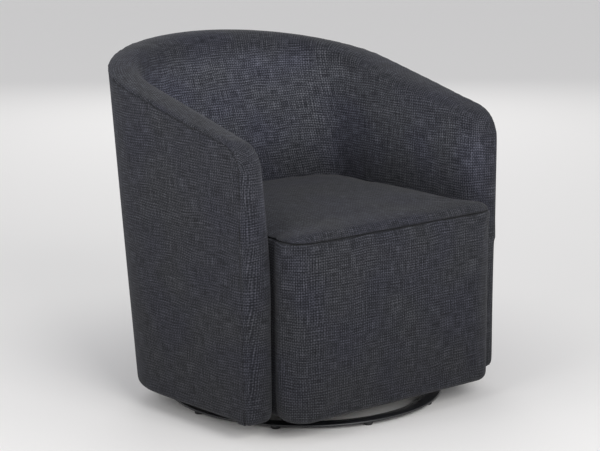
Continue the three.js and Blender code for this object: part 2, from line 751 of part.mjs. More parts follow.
function zigzag() {
  const [from, to] = [frameFrontY + railWidth / 2, frameRearReach - railWidth / 2];
  const points = [new THREE.Vector3(0, from, 0)];
  for (let i = 0; i < deckSpringBends; i++) {
    const y = lerp(from, to, (i + 0.5) / deckSpringBends);
    const side = i % 2 ? 1 : -1;
    const halfStep = (to - from) / deckSpringBends / 4;
    points.push(new THREE.Vector3((side * deckSpringWidth) / 2, y - halfStep, 0));
    points.push(new THREE.Vector3((side * deckSpringWidth) / 2, y + halfStep, 0));
  }
  points.push(new THREE.Vector3(0, to, 0));
  return points;
}

const deckSpringHeight = deckTop + touch + deckSpringWire / 2;
for (let i = 0; i < deckSpringCount; i++) {
  const x = (i - (deckSpringCount - 1) / 2) * deckSpringSpacing;
  const spring = wire(zigzag(), deckSpringWire, 5, 4 * deckSpringBends);
  addPiece(body, `deck_spring_${i + 1}`, spring, zincSteel, x, 0, deckSpringHeight);
}

const foamFoot = deckTop + deckSpringWire + 2 * touch;
const foamTop = seamHeight - seatPadDepth - touch;
const foamOutline = [
  [-boardHalfWidth, boardFace],
  [boardHalfWidth, boardFace],
  [frameHalfWidth, frameFrontY],
  [frameHalfWidth, frameRearReach],
  [-frameHalfWidth, frameRearReach],
  [-frameHalfWidth, frameFrontY],
];
addPiece(body, "seat_foam", sheet(foamOutline, foamFoot, foamTop), foam);

// Dust cover: black lining under the body, open round the cradle
function dustOutline() {
  const barrelEnd = frontT(touch - frontPanelReturn);
  const barrel = stations(barrelEnd).map((t) => wallPoint(t, bodyClearance, coverHem + 2 * touch));
  const [first, last] = [barrel[0], barrel.at(-1)];
  const [side, front] = [frameHalfWidth - touch, boardHalfWidth - touch];
  const right = [[side, last.y], [side, frameFrontY], [front, boardFace]];
  const left = [[-front, boardFace], [-side, frameFrontY], [-side, first.y]];
  return [...barrel.map(({ x, y }) => [x, y]), ...right, ...left].toReversed();
}

const dustHole = [[0, swivelY, dustCoverHoleRadius]];
const dustCover = sheet(dustOutline(), bodyClearance, bodyClearance + dustCoverThickness, dustHole);
addPiece(body, "dust_cover", dustCover, blackLining);

// Base: a flat ring on glides, with a four-armed spider
baseGroup.position.y = swivelY;
const ringInnerRadius = ringOuterRadius - ringWidth;
const ringTop = glideHeight + ringThickness;
const ringSection = [
  [ringInnerRadius, glideHeight + touch],
  [ringOuterRadius, glideHeight + touch],
  [ringOuterRadius, ringTop - ringEdge],
  [ringOuterRadius - ringEdge, ringTop],
  [ringInnerRadius, ringTop],
];
addPiece(baseGroup, "base_ring", turned(ringSection), blackSteel);

for (let i = 0; i < glideCount; i++) {
  const angle = radians(glideTurn + (360 * i) / glideCount);
  const middle = ringOuterRadius - ringWidth / 2;
  const glide = new THREE.CylinderGeometry(glideRadius, glideRadius - ringEdge, glideHeight, roundSides / 2);
  const [x, y] = [middle * Math.cos(angle), middle * Math.sin(angle)];
  addPiece(baseGroup, `glide_${i + 1}`, glide.rotateX(quarter), blackPlastic, x, y, glideHeight / 2);
}

const spiderFoot = glideHeight;
const hubFoot = spiderFoot + boltHeadHeight + touch;
const spiderLength = 2 * (ringInnerRadius * Math.cos(Math.PI / ringSides) - touch);
const spiderBars = [1, -1].map((side) => {
  const arm = new THREE.BoxGeometry(spiderLength, spiderArmWidth, spiderArmHeight);
  return arm.translate(0, 0, spiderFoot + spiderArmHeight / 2).rotateZ((side * quarter) / 2);
});
const hubTop = hubFoot + hubThickness;
const boltWell = bar(boltHeadRadius + pivotClearance, spiderFoot - overrun, hubFoot);
const boltHole = bar(boltRadius + pivotClearance, spiderFoot - overrun, hubTop + overrun);
const hub = bar(hubRadius, hubFoot - overrun, hubTop, 2 * roundSides);
const spider = cut(join(...spiderBars, hub), boltWell, boltHole);
addPiece(baseGroup, "base_spider", spider, blackSteel);

// Ball race between the spider and the turn plate
const raceMiddle = (raceInnerRadius + raceOuterRadius) / 2;
const lowerRaceFoot = hubTop + touch;
const lowerRaceTop = lowerRaceFoot + raceThickness;
const grooveHalf = 2 * raceGroove;
const grooveStretch = Math.hypot(1, raceGroove / grooveHalf);
const ballHeight = lowerRaceTop - raceGroove + (ballRadius + touch) * grooveStretch;

function race(flat, face, groove) {
  return turned([
    [raceInnerRadius, flat],
    [raceOuterRadius, flat],
    [raceOuterRadius, face],
    [raceMiddle + grooveHalf, face],
    [raceMiddle, groove],
    [raceMiddle - grooveHalf, face],
    [raceInnerRadius, face],
  ], 2 * roundSides);
}

addPiece(baseGroup, "lower_race", race(lowerRaceFoot, lowerRaceTop, lowerRaceTop - raceGroove), zincSteel);

const cageRing = turned([
  [raceMiddle - cageWidth / 2, ballHeight - cageThickness / 2],
  [raceMiddle + cageWidth / 2, ballHeight - cageThickness / 2],
  [raceMiddle + cageWidth / 2, ballHeight + cageThickness / 2],
  [raceMiddle - cageWidth / 2, ballHeight + cageThickness / 2],
], 2 * roundSides);
const balls = steps(0, 2 * Math.PI, ballCount).slice(1).map((angle) => {
  const ball = new THREE.SphereGeometry(ballRadius, 8, 6);
  return ball.translate(raceMiddle * Math.cos(angle), raceMiddle * Math.sin(angle), ballHeight);
});
addPiece(baseGroup, "ball_cage", join(cageRing, ...balls), zincSteel);

turntable.position.y = swivelY;
const upperRaceFoot = 2 * ballHeight - lowerRaceTop;
const upperRaceTop = upperRaceFoot + raceThickness;
addPiece(turntable, "upper_race", race(upperRaceTop, upperRaceFoot, upperRaceFoot + raceGroove), zincSteel);

const plateFoot = upperRaceTop + touch;
const plateTop = plateFoot + turnPlateThickness;
const [plateX, plateY] = [turnPlateLength / 2, turnPlateWidth / 2];
const plateOutline = [
  [-plateX + turnPlateCorner, -plateY],
  [plateX - turnPlateCorner, -plateY],
  [plateX, -plateY + turnPlateCorner],
  [plateX, plateY - turnPlateCorner],
  [plateX - turnPlateCorner, plateY],
  [-plateX + turnPlateCorner, plateY],
  [-plateX, plateY - turnPlateCorner],
  [-plateX, -plateY + turnPlateCorner],
];
const turnPlate = sheet(plateOutline, plateFoot, plateTop, [[0, 0, boltRadius + pivotClearance]]);
addPiece(turntable, "turn_plate", turnPlate, blackSteel);

const boltTop = plateTop + touch + nutHeight + overrun;
const boltHead = bar(boltHeadRadius, spiderFoot, spiderFoot + boltHeadHeight, 6);
addPiece(baseGroup, "centre_bolt", join(boltHead, bar(boltRadius, spiderFoot, boltTop)), zincSteel);
const nut = cut(bar(nutRadius, 0, nutHeight, 6), bar(boltRadius + touch, -overrun, nutHeight + overrun));
addPiece(baseGroup, "centre_nut", nut, zincSteel, 0, 0, plateTop + touch);

// Cradle: two brackets on the turn plate, two rails under the body, one shaft through all four
const flangeFoot = plateTop + touch;
const flangeTop = flangeFoot + steel;
const webProfile = (points, x0, x1) => {
  const shape = new THREE.Shape(points.map(([y, z]) => new THREE.Vector2(y, z)));
  const hole = new THREE.Path();
  hole.absarc(0, pivotHeight, pivotRadius + pivotClearance, 0, 2 * Math.PI, true);
  shape.holes.push(hole);
  const settings = { depth: x1 - x0, bevelEnabled: false, curveSegments: roundSides / 2 };
  const web = new THREE.ExtrudeGeometry(shape, settings);
  return web.rotateX(quarter).rotateZ(quarter).translate(x0, 0, 0);
};
const bracketWeb = [
  [-bracketReach / 2, flangeFoot],
  [bracketReach / 2, flangeFoot],
  [earRadius, pivotHeight + earRadius],
  [-earRadius, pivotHeight + earRadius],
];
const bracket = join(
  webProfile(bracketWeb, bracketOffset, bracketOffset + steel),
  block(bracketOffset, bracketOffset + flangeWidth, -bracketReach, bracketReach, flangeFoot, flangeTop),
);
const railFace = bracketOffset + steel + 2 * touch;
const railFoot = railTop - steel;
const railWeb = [
  [-cradleRailReach, railTop],
  [-cradleRailReach, railFoot - steel],
  [-2 * earRadius, pivotHeight - earRadius],
  [2 * earRadius, pivotHeight - earRadius],
  [cradleRailReach, railFoot - steel],
  [cradleRailReach, railTop],
];
const cradleRail = join(
  webProfile(railWeb, railFace, railFace + steel),
  block(railFace, bracketOffset + flangeWidth, -cradleRailReach, cradleRailReach, railFoot, railTop),
);
const shaftEnd = railFace + steel + touch;
const shaftHeads = [-shaftEnd - pivotHeadLength, shaftEnd].map((x) => {
  return bar(pivotHeadRadius, x, x + pivotHeadLength, 6);
});
const shaftBar = bar(pivotRadius, -shaftEnd - overrun, shaftEnd + overrun);
const rockerShaft = join(shaftBar, ...shaftHeads).rotateY(quarter);
addPiece(turntable, "rocker_shaft", rockerShaft, zincSteel, 0, 0, pivotHeight);

// A coil about Z, from the flange up to the rail, its ends cut flat.
function coil(height) {
  const points = steps(0, 1, 8 * cradleSpringTurns).map((share) => {
    const angle = share * cradleSpringTurns * 2 * Math.PI;
    const rise = lerp(cradleSpringWire / 2, height - cradleSpringWire / 2, share);
    const [s, c] = [Math.sin(angle), Math.cos(angle)];
    return new THREE.Vector3(cradleSpringRadius * c, cradleSpringRadius * s, rise);
  });
  return wire(points, cradleSpringWire, 5, 8 * cradleSpringTurns);
}

// The height of a stop that the rail meets, at the far side of the stop, at a rocking angle.
function stopHeight(degrees) {
  const angle = radians(degrees);
  const railDrop = (stopReach + stopRadius) * Math.tan(angle);
  const railAtStop = pivotHeight + (railFoot - pivotHeight) / Math.cos(angle) - railDrop;
  return railAtStop - flangeTop - 2 * touch;
}

const springHeight = railFoot - flangeTop - 2 * touch;
const besideWeb = bracketOffset + flangeWidth / 2 + steel;
const onFlange = flangeTop + touch;
for (const [name, side] of [["left", -1], ["right", 1]]) {
  const mirror = (geometry) => (side > 0 ? geometry.clone() : geometry.clone().rotateZ(Math.PI));
  const x = side * besideWeb;
  addPiece(turntable, `rocker_bracket_${name}`, mirror(bracket), blackSteel);
  addPiece(body, `cradle_rail_${name}`, mirror(cradleRail), blackSteel, 0, swivelY, 0);
  for (const [place, end, limit] of [["front", -1, rockForwardDegrees], ["rear", 1, rockBackDegrees]]) {
    const springY = end * cradleSpringReach;
    const spring = coil(springHeight);
    addPiece(turntable, `cradle_spring_${place}_${name}`, spring, zincSteel, x, springY, onFlange);
    const stopY = end * stopReach;
    const stop = bar(stopRadius, 0, stopHeight(limit), roundSides / 2);
    addPiece(turntable, `bump_stop_${place}_${name}`, stop, blackRubber, x, stopY, onFlange);
  }
}

export default chair;
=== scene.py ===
"""A barrel swivel rocker in charcoal linen weave, on a black steel ring base.

Lengths are metres, +Z is up and the chair's front faces -Y. A sewn piece starts as a copy of its solid:
it is subdivided, puffed up as cloth where it is a pad, and given the lines of its threads as a UV map.
"""
import json
import math

import bpy
import numpy as np
from mathutils import Matrix, Vector, noise
from mathutils.bvhtree import BVHTree


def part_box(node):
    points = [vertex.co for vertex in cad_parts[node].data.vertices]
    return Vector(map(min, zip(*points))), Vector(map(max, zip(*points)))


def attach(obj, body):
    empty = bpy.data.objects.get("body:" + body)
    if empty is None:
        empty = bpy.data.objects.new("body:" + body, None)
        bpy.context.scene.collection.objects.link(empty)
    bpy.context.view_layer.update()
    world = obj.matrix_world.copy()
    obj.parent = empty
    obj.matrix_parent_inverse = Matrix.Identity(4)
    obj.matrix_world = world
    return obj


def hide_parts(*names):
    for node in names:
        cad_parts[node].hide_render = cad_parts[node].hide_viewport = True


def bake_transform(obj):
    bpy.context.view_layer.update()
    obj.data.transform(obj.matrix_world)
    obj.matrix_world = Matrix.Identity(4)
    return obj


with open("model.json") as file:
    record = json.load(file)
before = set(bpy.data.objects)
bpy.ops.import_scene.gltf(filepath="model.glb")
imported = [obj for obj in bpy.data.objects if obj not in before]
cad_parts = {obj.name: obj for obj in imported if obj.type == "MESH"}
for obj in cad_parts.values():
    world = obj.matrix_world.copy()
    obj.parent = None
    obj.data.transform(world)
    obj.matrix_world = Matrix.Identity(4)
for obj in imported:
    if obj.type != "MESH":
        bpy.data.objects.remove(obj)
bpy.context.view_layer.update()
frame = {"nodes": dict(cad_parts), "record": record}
bpy.ops.object.select_all(action="DESELECT")
bpy.context.scene.view_settings.view_transform = "Standard"

MM = 0.001

# The photograph's view
VIEW_AZIMUTH = math.radians(-39.65)
VIEW_ELEVATION = math.radians(12.11)
VIEW_ROLL = math.radians(-0.26)
VIEW_DISTANCE = 4.656
VIEW_AIM = Vector((0.0181, -0.0150, 0.3682))
LENS_MM = 125.44
SENSOR_MM = 36.0

# The stage
FLOOR_SIZE = 60.0
FLOOR_LIFT = 0.34  # how much of the floor the camera sees as plain pale, away from the chair
SHADE_REACH = 0.30  # from the chair's middle to where that sets in
LIFT_REACH = 1.1  # and to where it is full
LAMP_SIZE = 2.4
LAMPS = {
    "key": (Vector((-0.7, -3.7, 2.1)), 124.0),
    "fill": (Vector((-3.6, -0.4, 1.8)), 62.0),
    "back": (Vector((2.6, 3.2, 2.0)), 34.0),
}
LIGHT_AIM = Vector((0.0, 0.0, 0.45))
WORLD_STRENGTH = 0.42

# The chair's outline, as its solids give it
FOOT_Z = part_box("outside_cover")[0].z
RIM_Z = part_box("rim_band")[1].z
RIM_BACK_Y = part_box("rim_band")[1].y
RIM_SLOPE = 0.23  # the rim's fall from back to front, as a tangent
RIM_ROLL = 32 * MM  # how far down the inside the rim is rounded
AXIS_FOOT_Y = 12 * MM  # where the barrel is widest, at its foot
AXIS_RIM_Y = 100 * MM  # and at its rim
ARM_FRONT_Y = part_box("rim_band")[0].y
ARM_FRONT_DEPTH = 20 * MM  # behind an arm's front face, where the inner face begins
CORNER_RADIUS = 70 * MM  # where the rim turns down into the arm front
CORNER_Y = ARM_FRONT_Y + CORNER_RADIUS
CORNER_SLACK = 5 * MM  # so that the point at the top of the corner counts
CORNER_Z = max(vertex.co.z for vertex in frame["nodes"]["rim_band"].data.vertices
               if vertex.co.y < CORNER_Y + CORNER_SLACK) - CORNER_RADIUS
SEAM_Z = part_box("front_panel")[1].z  # the seam round the front of the seat
PANEL_FRONT_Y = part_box("front_panel")[0].y
PANEL_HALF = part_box("front_panel")[1].x
PANEL_CORNER = 50 * MM  # the radius of the seat's front corners, seen from above
PAD_FOOT_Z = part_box("inside_back")[0].z
SLOTS = {part["node"]: part["material_slot"] for part in frame["record"]["subparts"]}


# Small helpers
def choose(piece):
    """Makes a piece the only one that is selected, and the active one."""
    bpy.ops.object.select_all(action="DESELECT")
    piece.select_set(True)
    bpy.context.view_layer.objects.active = piece


def modify(piece, kind, **settings):
    """Adds a modifier and applies it."""
    choose(piece)
    modifier = piece.modifiers.new(kind.lower(), kind)
    for name, value in settings.items():
        setattr(modifier, name, value)
    bpy.ops.object.modifier_apply(modifier=modifier.name)


def lerp(start, end, share):
    return start + (end - start) * share


def smooth(share):
    share = min(1.0, max(0.0, share))
    return share * share * (3 - 2 * share)


def points_of(mesh):
    """A mesh's points as rows of numbers."""
    places = np.zeros(len(mesh.vertices) * 3, np.float32)
    mesh.vertices.foreach_get("co", places)
    return places.reshape(-1, 3)


def shape(piece, move):
    """Puts each point where move(place, normal) says."""
    points = [(vertex.co.copy(), vertex.normal.copy()) for vertex in piece.data.vertices]
    places = [move(place, normal) for place, normal in points]
    piece.data.vertices.foreach_set("co", np.array(places, np.float32).ravel())
    piece.data.update()


def surface_of(*nodes):
    """The surfaces of some nodes' solids, for rays and nearest points."""
    points, faces = [], []
    for node in nodes:
        mesh = frame["nodes"][node].data
        faces += [[len(points) + i for i in face.vertices] for face in mesh.polygons]
        points += [vertex.co.copy() for vertex in mesh.vertices]
    return BVHTree.FromPolygons(points, faces)


def linear(hex_colour):
    """An sRGB colour such as "#36373c" as the linear colour that a shader takes."""
    parts = [int(hex_colour[i:i + 2], 16) / 255 for i in (1, 3, 5)]
    return [p / 12.92 if p <= 0.04045 else ((p + 0.055) / 1.055) ** 2.4 for p in parts] + [1.0]


def add(tree, kind, values=None, links=None, **settings):
    """Adds a node with its settings, its sockets' values and its links."""
    node = tree.nodes.new(kind)
    for name, value in settings.items():
        setattr(node, name, value)
    for socket, value in (values or {}).items():
        node.inputs[socket].default_value = value
    for socket, source in (links or {}).items():
        tree.links.new(source, node.inputs[socket])
    return node


def new_material(name, **values):
    """A material with one Principled shader, and that shader."""
    material = bpy.data.materials.new(name)
    material.use_nodes = True
    shader = material.node_tree.nodes["Principled BSDF"]
    for socket, value in values.items():
        shader.inputs[socket.replace("_", " ").capitalize()].default_value = value
    return material, material.node_tree, shader


# Materials
DOT_PITCH = 7.6 * MM  # of a chequerboard, whose dots are 5.4 mm apart
YARN_PITCH = 5.6 * MM
SLUB_LENGTH = 36 * MM
SLUB_WIDTH = 1.5 * MM
YARN_DRIFT = 12 * MM  # how far the yarns wander from a straight line
DOT_SHARE = 0.9
YARN_SHARE = 0.7
WEAVE_SHARE = 0.22  # how strong dots and yarns are beside the slubs
SEAM_SPAN = 10 * MM  # the ramp over a seam spans this, and only its first 2 mm are darker, as painted shade in the seam's groove
MOST_PAINTED_LIGHT = 1.85  # how many times paler the inside is painted where the painted light is strongest
BOND_PITCH = 2.5 * MM  # of the bond points in the lining


def weave_relief(tree):
    """How high the weave stands: dots staggered like a chequerboard, faint yarns and thin slubs both ways."""
    threads = add(tree, "ShaderNodeUVMap", uv_map="threads")
    drift = add(tree, "ShaderNodeTexNoise", {"Scale": 9.0, "Detail": 1.0}, {"Vector": threads.outputs[0]},
                noise_dimensions="2D")
    centred = add(tree, "ShaderNodeVectorMath", {1: (0.5, 0.5, 0.5)}, {0: drift.outputs["Color"]},
                  operation="SUBTRACT")
    shifted = add(tree, "ShaderNodeVectorMath", {"Scale": YARN_DRIFT}, {0: centred.outputs[0]},
                  operation="SCALE")
    place = add(tree, "ShaderNodeVectorMath", links={0: threads.outputs[0], 1: shifted.outputs[0]},
                operation="ADD")
    slubs = []
    for length, width in ((SLUB_LENGTH, SLUB_WIDTH), (SLUB_WIDTH, SLUB_LENGTH)):
        stretched = add(tree, "ShaderNodeVectorMath", {1: (1 / length, 1 / width, 0.0)},
                        {0: place.outputs[0]}, operation="MULTIPLY")
        slub = add(tree, "ShaderNodeTexNoise", {"Scale": 1.0, "Detail": 1.0, "Roughness": 0.5},
                   {"Vector": stretched.outputs[0]}, noise_dimensions="2D")
        slubs.append(slub.outputs["Fac"])
    parts = add(tree, "ShaderNodeSeparateXYZ", links={0: place.outputs[0]})
    waves = []
    for pitch, axis in ((DOT_PITCH, "X"), (DOT_PITCH, "Y"), (YARN_PITCH, "X"), (YARN_PITCH, "Y")):
        turn = add(tree, "ShaderNodeMath", {1: 2 * math.pi / pitch}, {0: parts.outputs[axis]},
                   operation="MULTIPLY")
        waves.append(add(tree, "ShaderNodeMath", links={0: turn.outputs[0]}, operation="COSINE").outputs[0])
    dots = add(tree, "ShaderNodeMath", links={0: waves[0], 1: waves[1]}, operation="MULTIPLY")
    yarns = add(tree, "ShaderNodeMath", links={0: waves[2], 1: waves[3]}, operation="ADD")
    faint = add(tree, "ShaderNodeMath", {1: YARN_SHARE}, {0: yarns.outputs[0]}, operation="MULTIPLY")
    weave = add(tree, "ShaderNodeMath", {1: DOT_SHARE}, {0: dots.outputs[0], 2: faint.outputs[0]},
                operation="MULTIPLY_ADD")
    crossed = add(tree, "ShaderNodeMath", links={0: slubs[0], 1: slubs[1]}, operation="ADD")
    relief = add(tree, "ShaderNodeMath", {1: WEAVE_SHARE}, {0: weave.outputs[0], 2: crossed.outputs[0]},
                 operation="MULTIPLY_ADD")
    return place.outputs[0], relief.outputs[0]


def charcoal_linen():
    """Basket-woven linen look: charcoal yarns with paler slubs, a little bluish in patches. Painted light and
    shade
    lie on it: the yarns are paler where they stand up and darker in the gaps, the seams are darker, and the
    cloth is paler towards the rim and on the inside between the seat and the rim, where light falls. Real
    yarns are about 1 mm apart, and these are drawn as coarse as they need to show."""
    material, tree, shader = new_material("charcoal_linen", Roughness=0.95)
    shader.inputs["Sheen Weight"].default_value = 0.04
    shader.inputs["Sheen Roughness"].default_value = 0.6
    shader.inputs["Specular IOR Level"].default_value = 0.15
    place, relief = weave_relief(tree)
    # Painted light and shade on the weave: the yarns are paler where the relief stands high and darker in the
    # gaps; the slubs in the relief are the yarns' own paler tone.
    tone = add(tree, "ShaderNodeMapRange", {"From Min": 0.08, "From Max": 2.0}, {"Value": relief})
    yarns = add(tree, "ShaderNodeValToRGB", links={0: tone.outputs[0]})
    yarns.color_ramp.elements[0].color = linear("#060607")
    yarns.color_ramp.elements[1].color = linear("#6b6c71")
    yarns.color_ramp.elements.new(0.45).color = linear("#27282c")
    patches = add(tree, "ShaderNodeTexNoise", {"Scale": 7.0, "Detail": 1.0}, {"Vector": place})
    tint = add(tree, "ShaderNodeValToRGB", links={0: patches.outputs["Fac"]})
    tint.color_ramp.elements[0].position = 0.35
    tint.color_ramp.elements[0].color = linear("#f0f0ff")
    tint.color_ramp.elements[1].position = 0.60
    tint.color_ramp.elements[1].color = linear("#fbfbfd")
    # Painted shade: the cloth is darker within 2 mm of a seam.
    seam = add(tree, "ShaderNodeAttribute", attribute_name="seam")
    beside = add(tree, "ShaderNodeMapRange", {"From Max": SEAM_SPAN}, {"Value": seam.outputs["Fac"]})
    seam_painted_shade = add(tree, "ShaderNodeValToRGB", links={0: beside.outputs[0]})
    seam_painted_shade.color_ramp.elements[0].position = 0.10
    seam_painted_shade.color_ramp.elements[0].color = linear("#c0c0c0")
    seam_painted_shade.color_ramp.elements[1].position = 0.20
    seam_painted_shade.color_ramp.elements[1].color = linear("#ffffff")
    # Painted light: the cloth is darker towards the foot and paler towards the rim, as light falls from
    # above.
    point = add(tree, "ShaderNodeTexCoord")
    height = add(tree, "ShaderNodeSeparateXYZ", links={0: point.outputs["Object"]})
    risen = add(tree, "ShaderNodeMapRange", {"From Min": FOOT_Z, "From Max": RIM_Z},
                {"Value": height.outputs["Z"]})
    painted_height_light = add(tree, "ShaderNodeValToRGB", links={0: risen.outputs[0]})
    painted_height_light.color_ramp.elements[0].color = linear("#bcbcbc")
    painted_height_light.color_ramp.elements[1].color = linear("#ffffff")
    colour = yarns.outputs["Color"]
    for layer in (tint, seam_painted_shade, painted_height_light):
        mixed = add(tree, "ShaderNodeMix", {0: 1.0}, {6: colour, 7: layer.outputs["Color"]},
                    data_type="RGBA", blend_type="MULTIPLY")
        colour = mixed.outputs[2]
    # Painted light: the inside is paler between the seat and the rim, where light falls.
    painted_light = add(tree, "ShaderNodeAttribute", attribute_name="painted_light")
    paler = add(tree, "ShaderNodeMapRange", {"To Min": 1.0, "To Max": MOST_PAINTED_LIGHT},
                {"Value": painted_light.outputs["Fac"]})
    painted_light_colour = add(tree, "ShaderNodeVectorMath", links={0: colour, "Scale": paler.outputs[0]}, operation="SCALE")
    bump = add(tree, "ShaderNodeBump", {"Strength": 0.35, "Distance": 0.8 * MM}, {"Height": relief})
    tree.links.new(painted_light_colour.outputs[0], shader.inputs["Base Color"])
    tree.links.new(bump.outputs[0], shader.inputs["Normal"])
    return material


def powder_coated_steel():
    """Sheet steel, blasted and powder coated: a satin black with a fine orange-peel texture."""
    material, tree, shader = new_material("powder_coated_steel", Roughness=0.42)
    place = add(tree, "ShaderNodeTexCoord").outputs["Object"]
    peel = add(tree, "ShaderNodeTexNoise", {"Scale": 900.0, "Detail": 2.0}, {"Vector": place})
    bump = add(tree, "ShaderNodeBump", {"Strength": 0.25, "Distance": 0.15 * MM},
               {"Height": peel.outputs["Fac"]})
    dust = add(tree, "ShaderNodeTexNoise", {"Scale": 18.0, "Detail": 4.0}, {"Vector": place})
    tone = add(tree, "ShaderNodeValToRGB", links={0: dust.outputs["Fac"]})
    tone.color_ramp.elements[0].color = linear("#141416")
    tone.color_ramp.elements[1].color = linear("#202124")
    tree.links.new(tone.outputs["Color"], shader.inputs["Base Color"])
    tree.links.new(bump.outputs[0], shader.inputs["Normal"])
    return material


def zinc_plated_steel():
    """Drawn wire and turned parts, barrel plated with zinc: a dull blue-grey metal with cloudy patches."""
    material, tree, shader = new_material("zinc_plated_steel", Metallic=1.0)
    place = add(tree, "ShaderNodeTexCoord").outputs["Object"]
    cloud = add(tree, "ShaderNodeTexNoise", {"Scale": 60.0, "Detail": 3.0}, {"Vector": place})
    tone = add(tree, "ShaderNodeValToRGB", links={0: cloud.outputs["Fac"]})
    tone.color_ramp.elements[0].color = linear("#8f9296")
    tone.color_ramp.elements[1].color = linear("#b9bbbd")
    rough = add(tree, "ShaderNodeMapRange", {"To Min": 0.28, "To Max": 0.5}, {"Value": cloud.outputs["Fac"]})
    tree.links.new(tone.outputs["Color"], shader.inputs["Base Color"])
    tree.links.new(rough.outputs[0], shader.inputs["Roughness"])
    return material


def sawn_timber():
    """Kiln-dried hardwood, sawn and left bare: a pale brown with long grain from side to side."""
    material, tree, shader = new_material("sawn_timber", Roughness=0.75)
    place = add(tree, "ShaderNodeTexCoord").outputs["Object"]
    stretched = add(tree, "ShaderNodeMapping", {"Scale": (6.0, 140.0, 140.0)}, {"Vector": place})
    grain = add(tree, "ShaderNodeTexNoise", {"Scale": 1.0, "Detail": 5.0, "Distortion": 0.4},
                {"Vector": stretched.outputs[0]})
    tone = add(tree, "ShaderNodeValToRGB", links={0: grain.outputs["Fac"]})
    tone.color_ramp.elements[0].position = 0.3
    tone.color_ramp.elements[0].color = linear("#8d6a43")
    tone.color_ramp.elements[1].position = 0.7
    tone.color_ramp.elements[1].color = linear("#c9a473")
    bump = add(tree, "ShaderNodeBump", {"Strength": 0.3, "Distance": 0.4 * MM},
               {"Height": grain.outputs["Fac"]})
    tree.links.new(tone.outputs["Color"], shader.inputs["Base Color"])
    tree.links.new(bump.outputs[0], shader.inputs["Normal"])
    return material


def bent_plywood():
    """Rotary-cut veneers pressed to a curve: pale wood whose grain runs up the sheet."""
    material, tree, shader = new_material("bent_plywood", Roughness=0.6)
    place = add(tree, "ShaderNodeTexCoord").outputs["Object"]
    stretched = add(tree, "ShaderNodeMapping", {"Scale": (70.0, 70.0, 5.0)}, {"Vector": place})
    grain = add(tree, "ShaderNodeTexNoise", {"Scale": 1.0, "Detail": 4.0, "Distortion": 0.8},
                {"Vector": stretched.outputs[0]})
    tone = add(tree, "ShaderNodeValToRGB", links={0: grain.outputs["Fac"]})
    tone.color_ramp.elements[0].position = 0.35
    tone.color_ramp.elements[0].color = linear("#b48f5f")
    tone.color_ramp.elements[1].position = 0.65
    tone.color_ramp.elements[1].color = linear("#d9bb8c")
    tree.links.new(tone.outputs["Color"], shader.inputs["Base Color"])
    return material


def cut_foam():
    """Open-cell foam cut with a hot wire: pale yellow, matt and full of small cells."""
    material, tree, shader = new_material("cut_foam", Roughness=0.95)
    place = add(tree, "ShaderNodeTexCoord").outputs["Object"]
    cells = add(tree, "ShaderNodeTexVoronoi", {"Scale": 600.0}, {"Vector": place})
    tone = add(tree, "ShaderNodeValToRGB", links={0: cells.outputs["Distance"]})
    tone.color_ramp.elements[0].color = linear("#cbbf92")
    tone.color_ramp.elements[1].color = linear("#e6dcb6")
    bump = add(tree, "ShaderNodeBump", {"Strength": 0.5, "Distance": 0.6 * MM},
               {"Height": cells.outputs["Distance"]})
    tree.links.new(tone.outputs["Color"], shader.inputs["Base Color"])
    tree.links.new(bump.outputs[0], shader.inputs["Normal"])
    return material


def spunbonded_lining():
    """Spunbonded polypropylene, the cloth under a chair: black, papery, with a grid of bond points."""
    material, tree, shader = new_material("spunbonded_lining", Roughness=0.85)
    place = add(tree, "ShaderNodeTexCoord").outputs["Object"]
    fibres = add(tree, "ShaderNodeTexNoise", {"Scale": 260.0, "Detail": 4.0}, {"Vector": place})
    bonds = add(tree, "ShaderNodeTexVoronoi", {"Scale": 1 / BOND_PITCH, "Randomness": 0.0}, {"Vector": place})
    tone = add(tree, "ShaderNodeValToRGB", links={0: fibres.outputs["Fac"]})
    tone.color_ramp.elements[0].color = linear("#121214")
    tone.color_ramp.elements[1].color = linear("#232327")
    bump = add(tree, "ShaderNodeBump", {"Strength": 0.4, "Distance": 0.2 * MM},
               {"Height": bonds.outputs["Distance"]})
    tree.links.new(tone.outputs["Color"], shader.inputs["Base Color"])
    tree.links.new(bump.outputs[0], shader.inputs["Normal"])
    return material


def moulded_nylon():
    """Injection-moulded nylon glides: black with a fine spark-eroded grain."""
    material, tree, shader = new_material("moulded_nylon", Roughness=0.55)
    place = add(tree, "ShaderNodeTexCoord").outputs["Object"]
    grain = add(tree, "ShaderNodeTexNoise", {"Scale": 1500.0}, {"Vector": place})
    tone = add(tree, "ShaderNodeValToRGB", links={0: grain.outputs["Fac"]})
    tone.color_ramp.elements[0].color = linear("#0e0e0f")
    tone.color_ramp.elements[1].color = linear("#1b1b1d")
    bump = add(tree, "ShaderNodeBump", {"Strength": 0.2, "Distance": 0.1 * MM},
               {"Height": grain.outputs["Fac"]})
    tree.links.new(tone.outputs["Color"], shader.inputs["Base Color"])
    tree.links.new(bump.outputs[0], shader.inputs["Normal"])
    return material


def moulded_rubber():
    """Compression-moulded rubber stops: a dead matt black with a grey bloom."""
    material, tree, shader = new_material("moulded_rubber", Roughness=0.85)
    place = add(tree, "ShaderNodeTexCoord").outputs["Object"]
    bloom = add(tree, "ShaderNodeTexNoise", {"Scale": 90.0, "Detail": 4.0}, {"Vector": place})
    tone = add(tree, "ShaderNodeValToRGB", links={0: bloom.outputs["Fac"]})
    tone.color_ramp.elements[0].color = linear("#0f0f0f")
    tone.color_ramp.elements[1].color = linear("#262625")
    tree.links.new(tone.outputs["Color"], shader.inputs["Base Color"])
    return material


MATERIALS = {
    "charcoal_cloth": charcoal_linen(),
    "black_steel": powder_coated_steel(),
    "zinc_steel": zinc_plated_steel(),
    "frame_timber": sawn_timber(),
    "bent_ply": bent_plywood(),
    "seat_foam": cut_foam(),
    "black_lining": spunbonded_lining(),
    "black_plastic": moulded_nylon(),
    "black_rubber": moulded_rubber(),
}


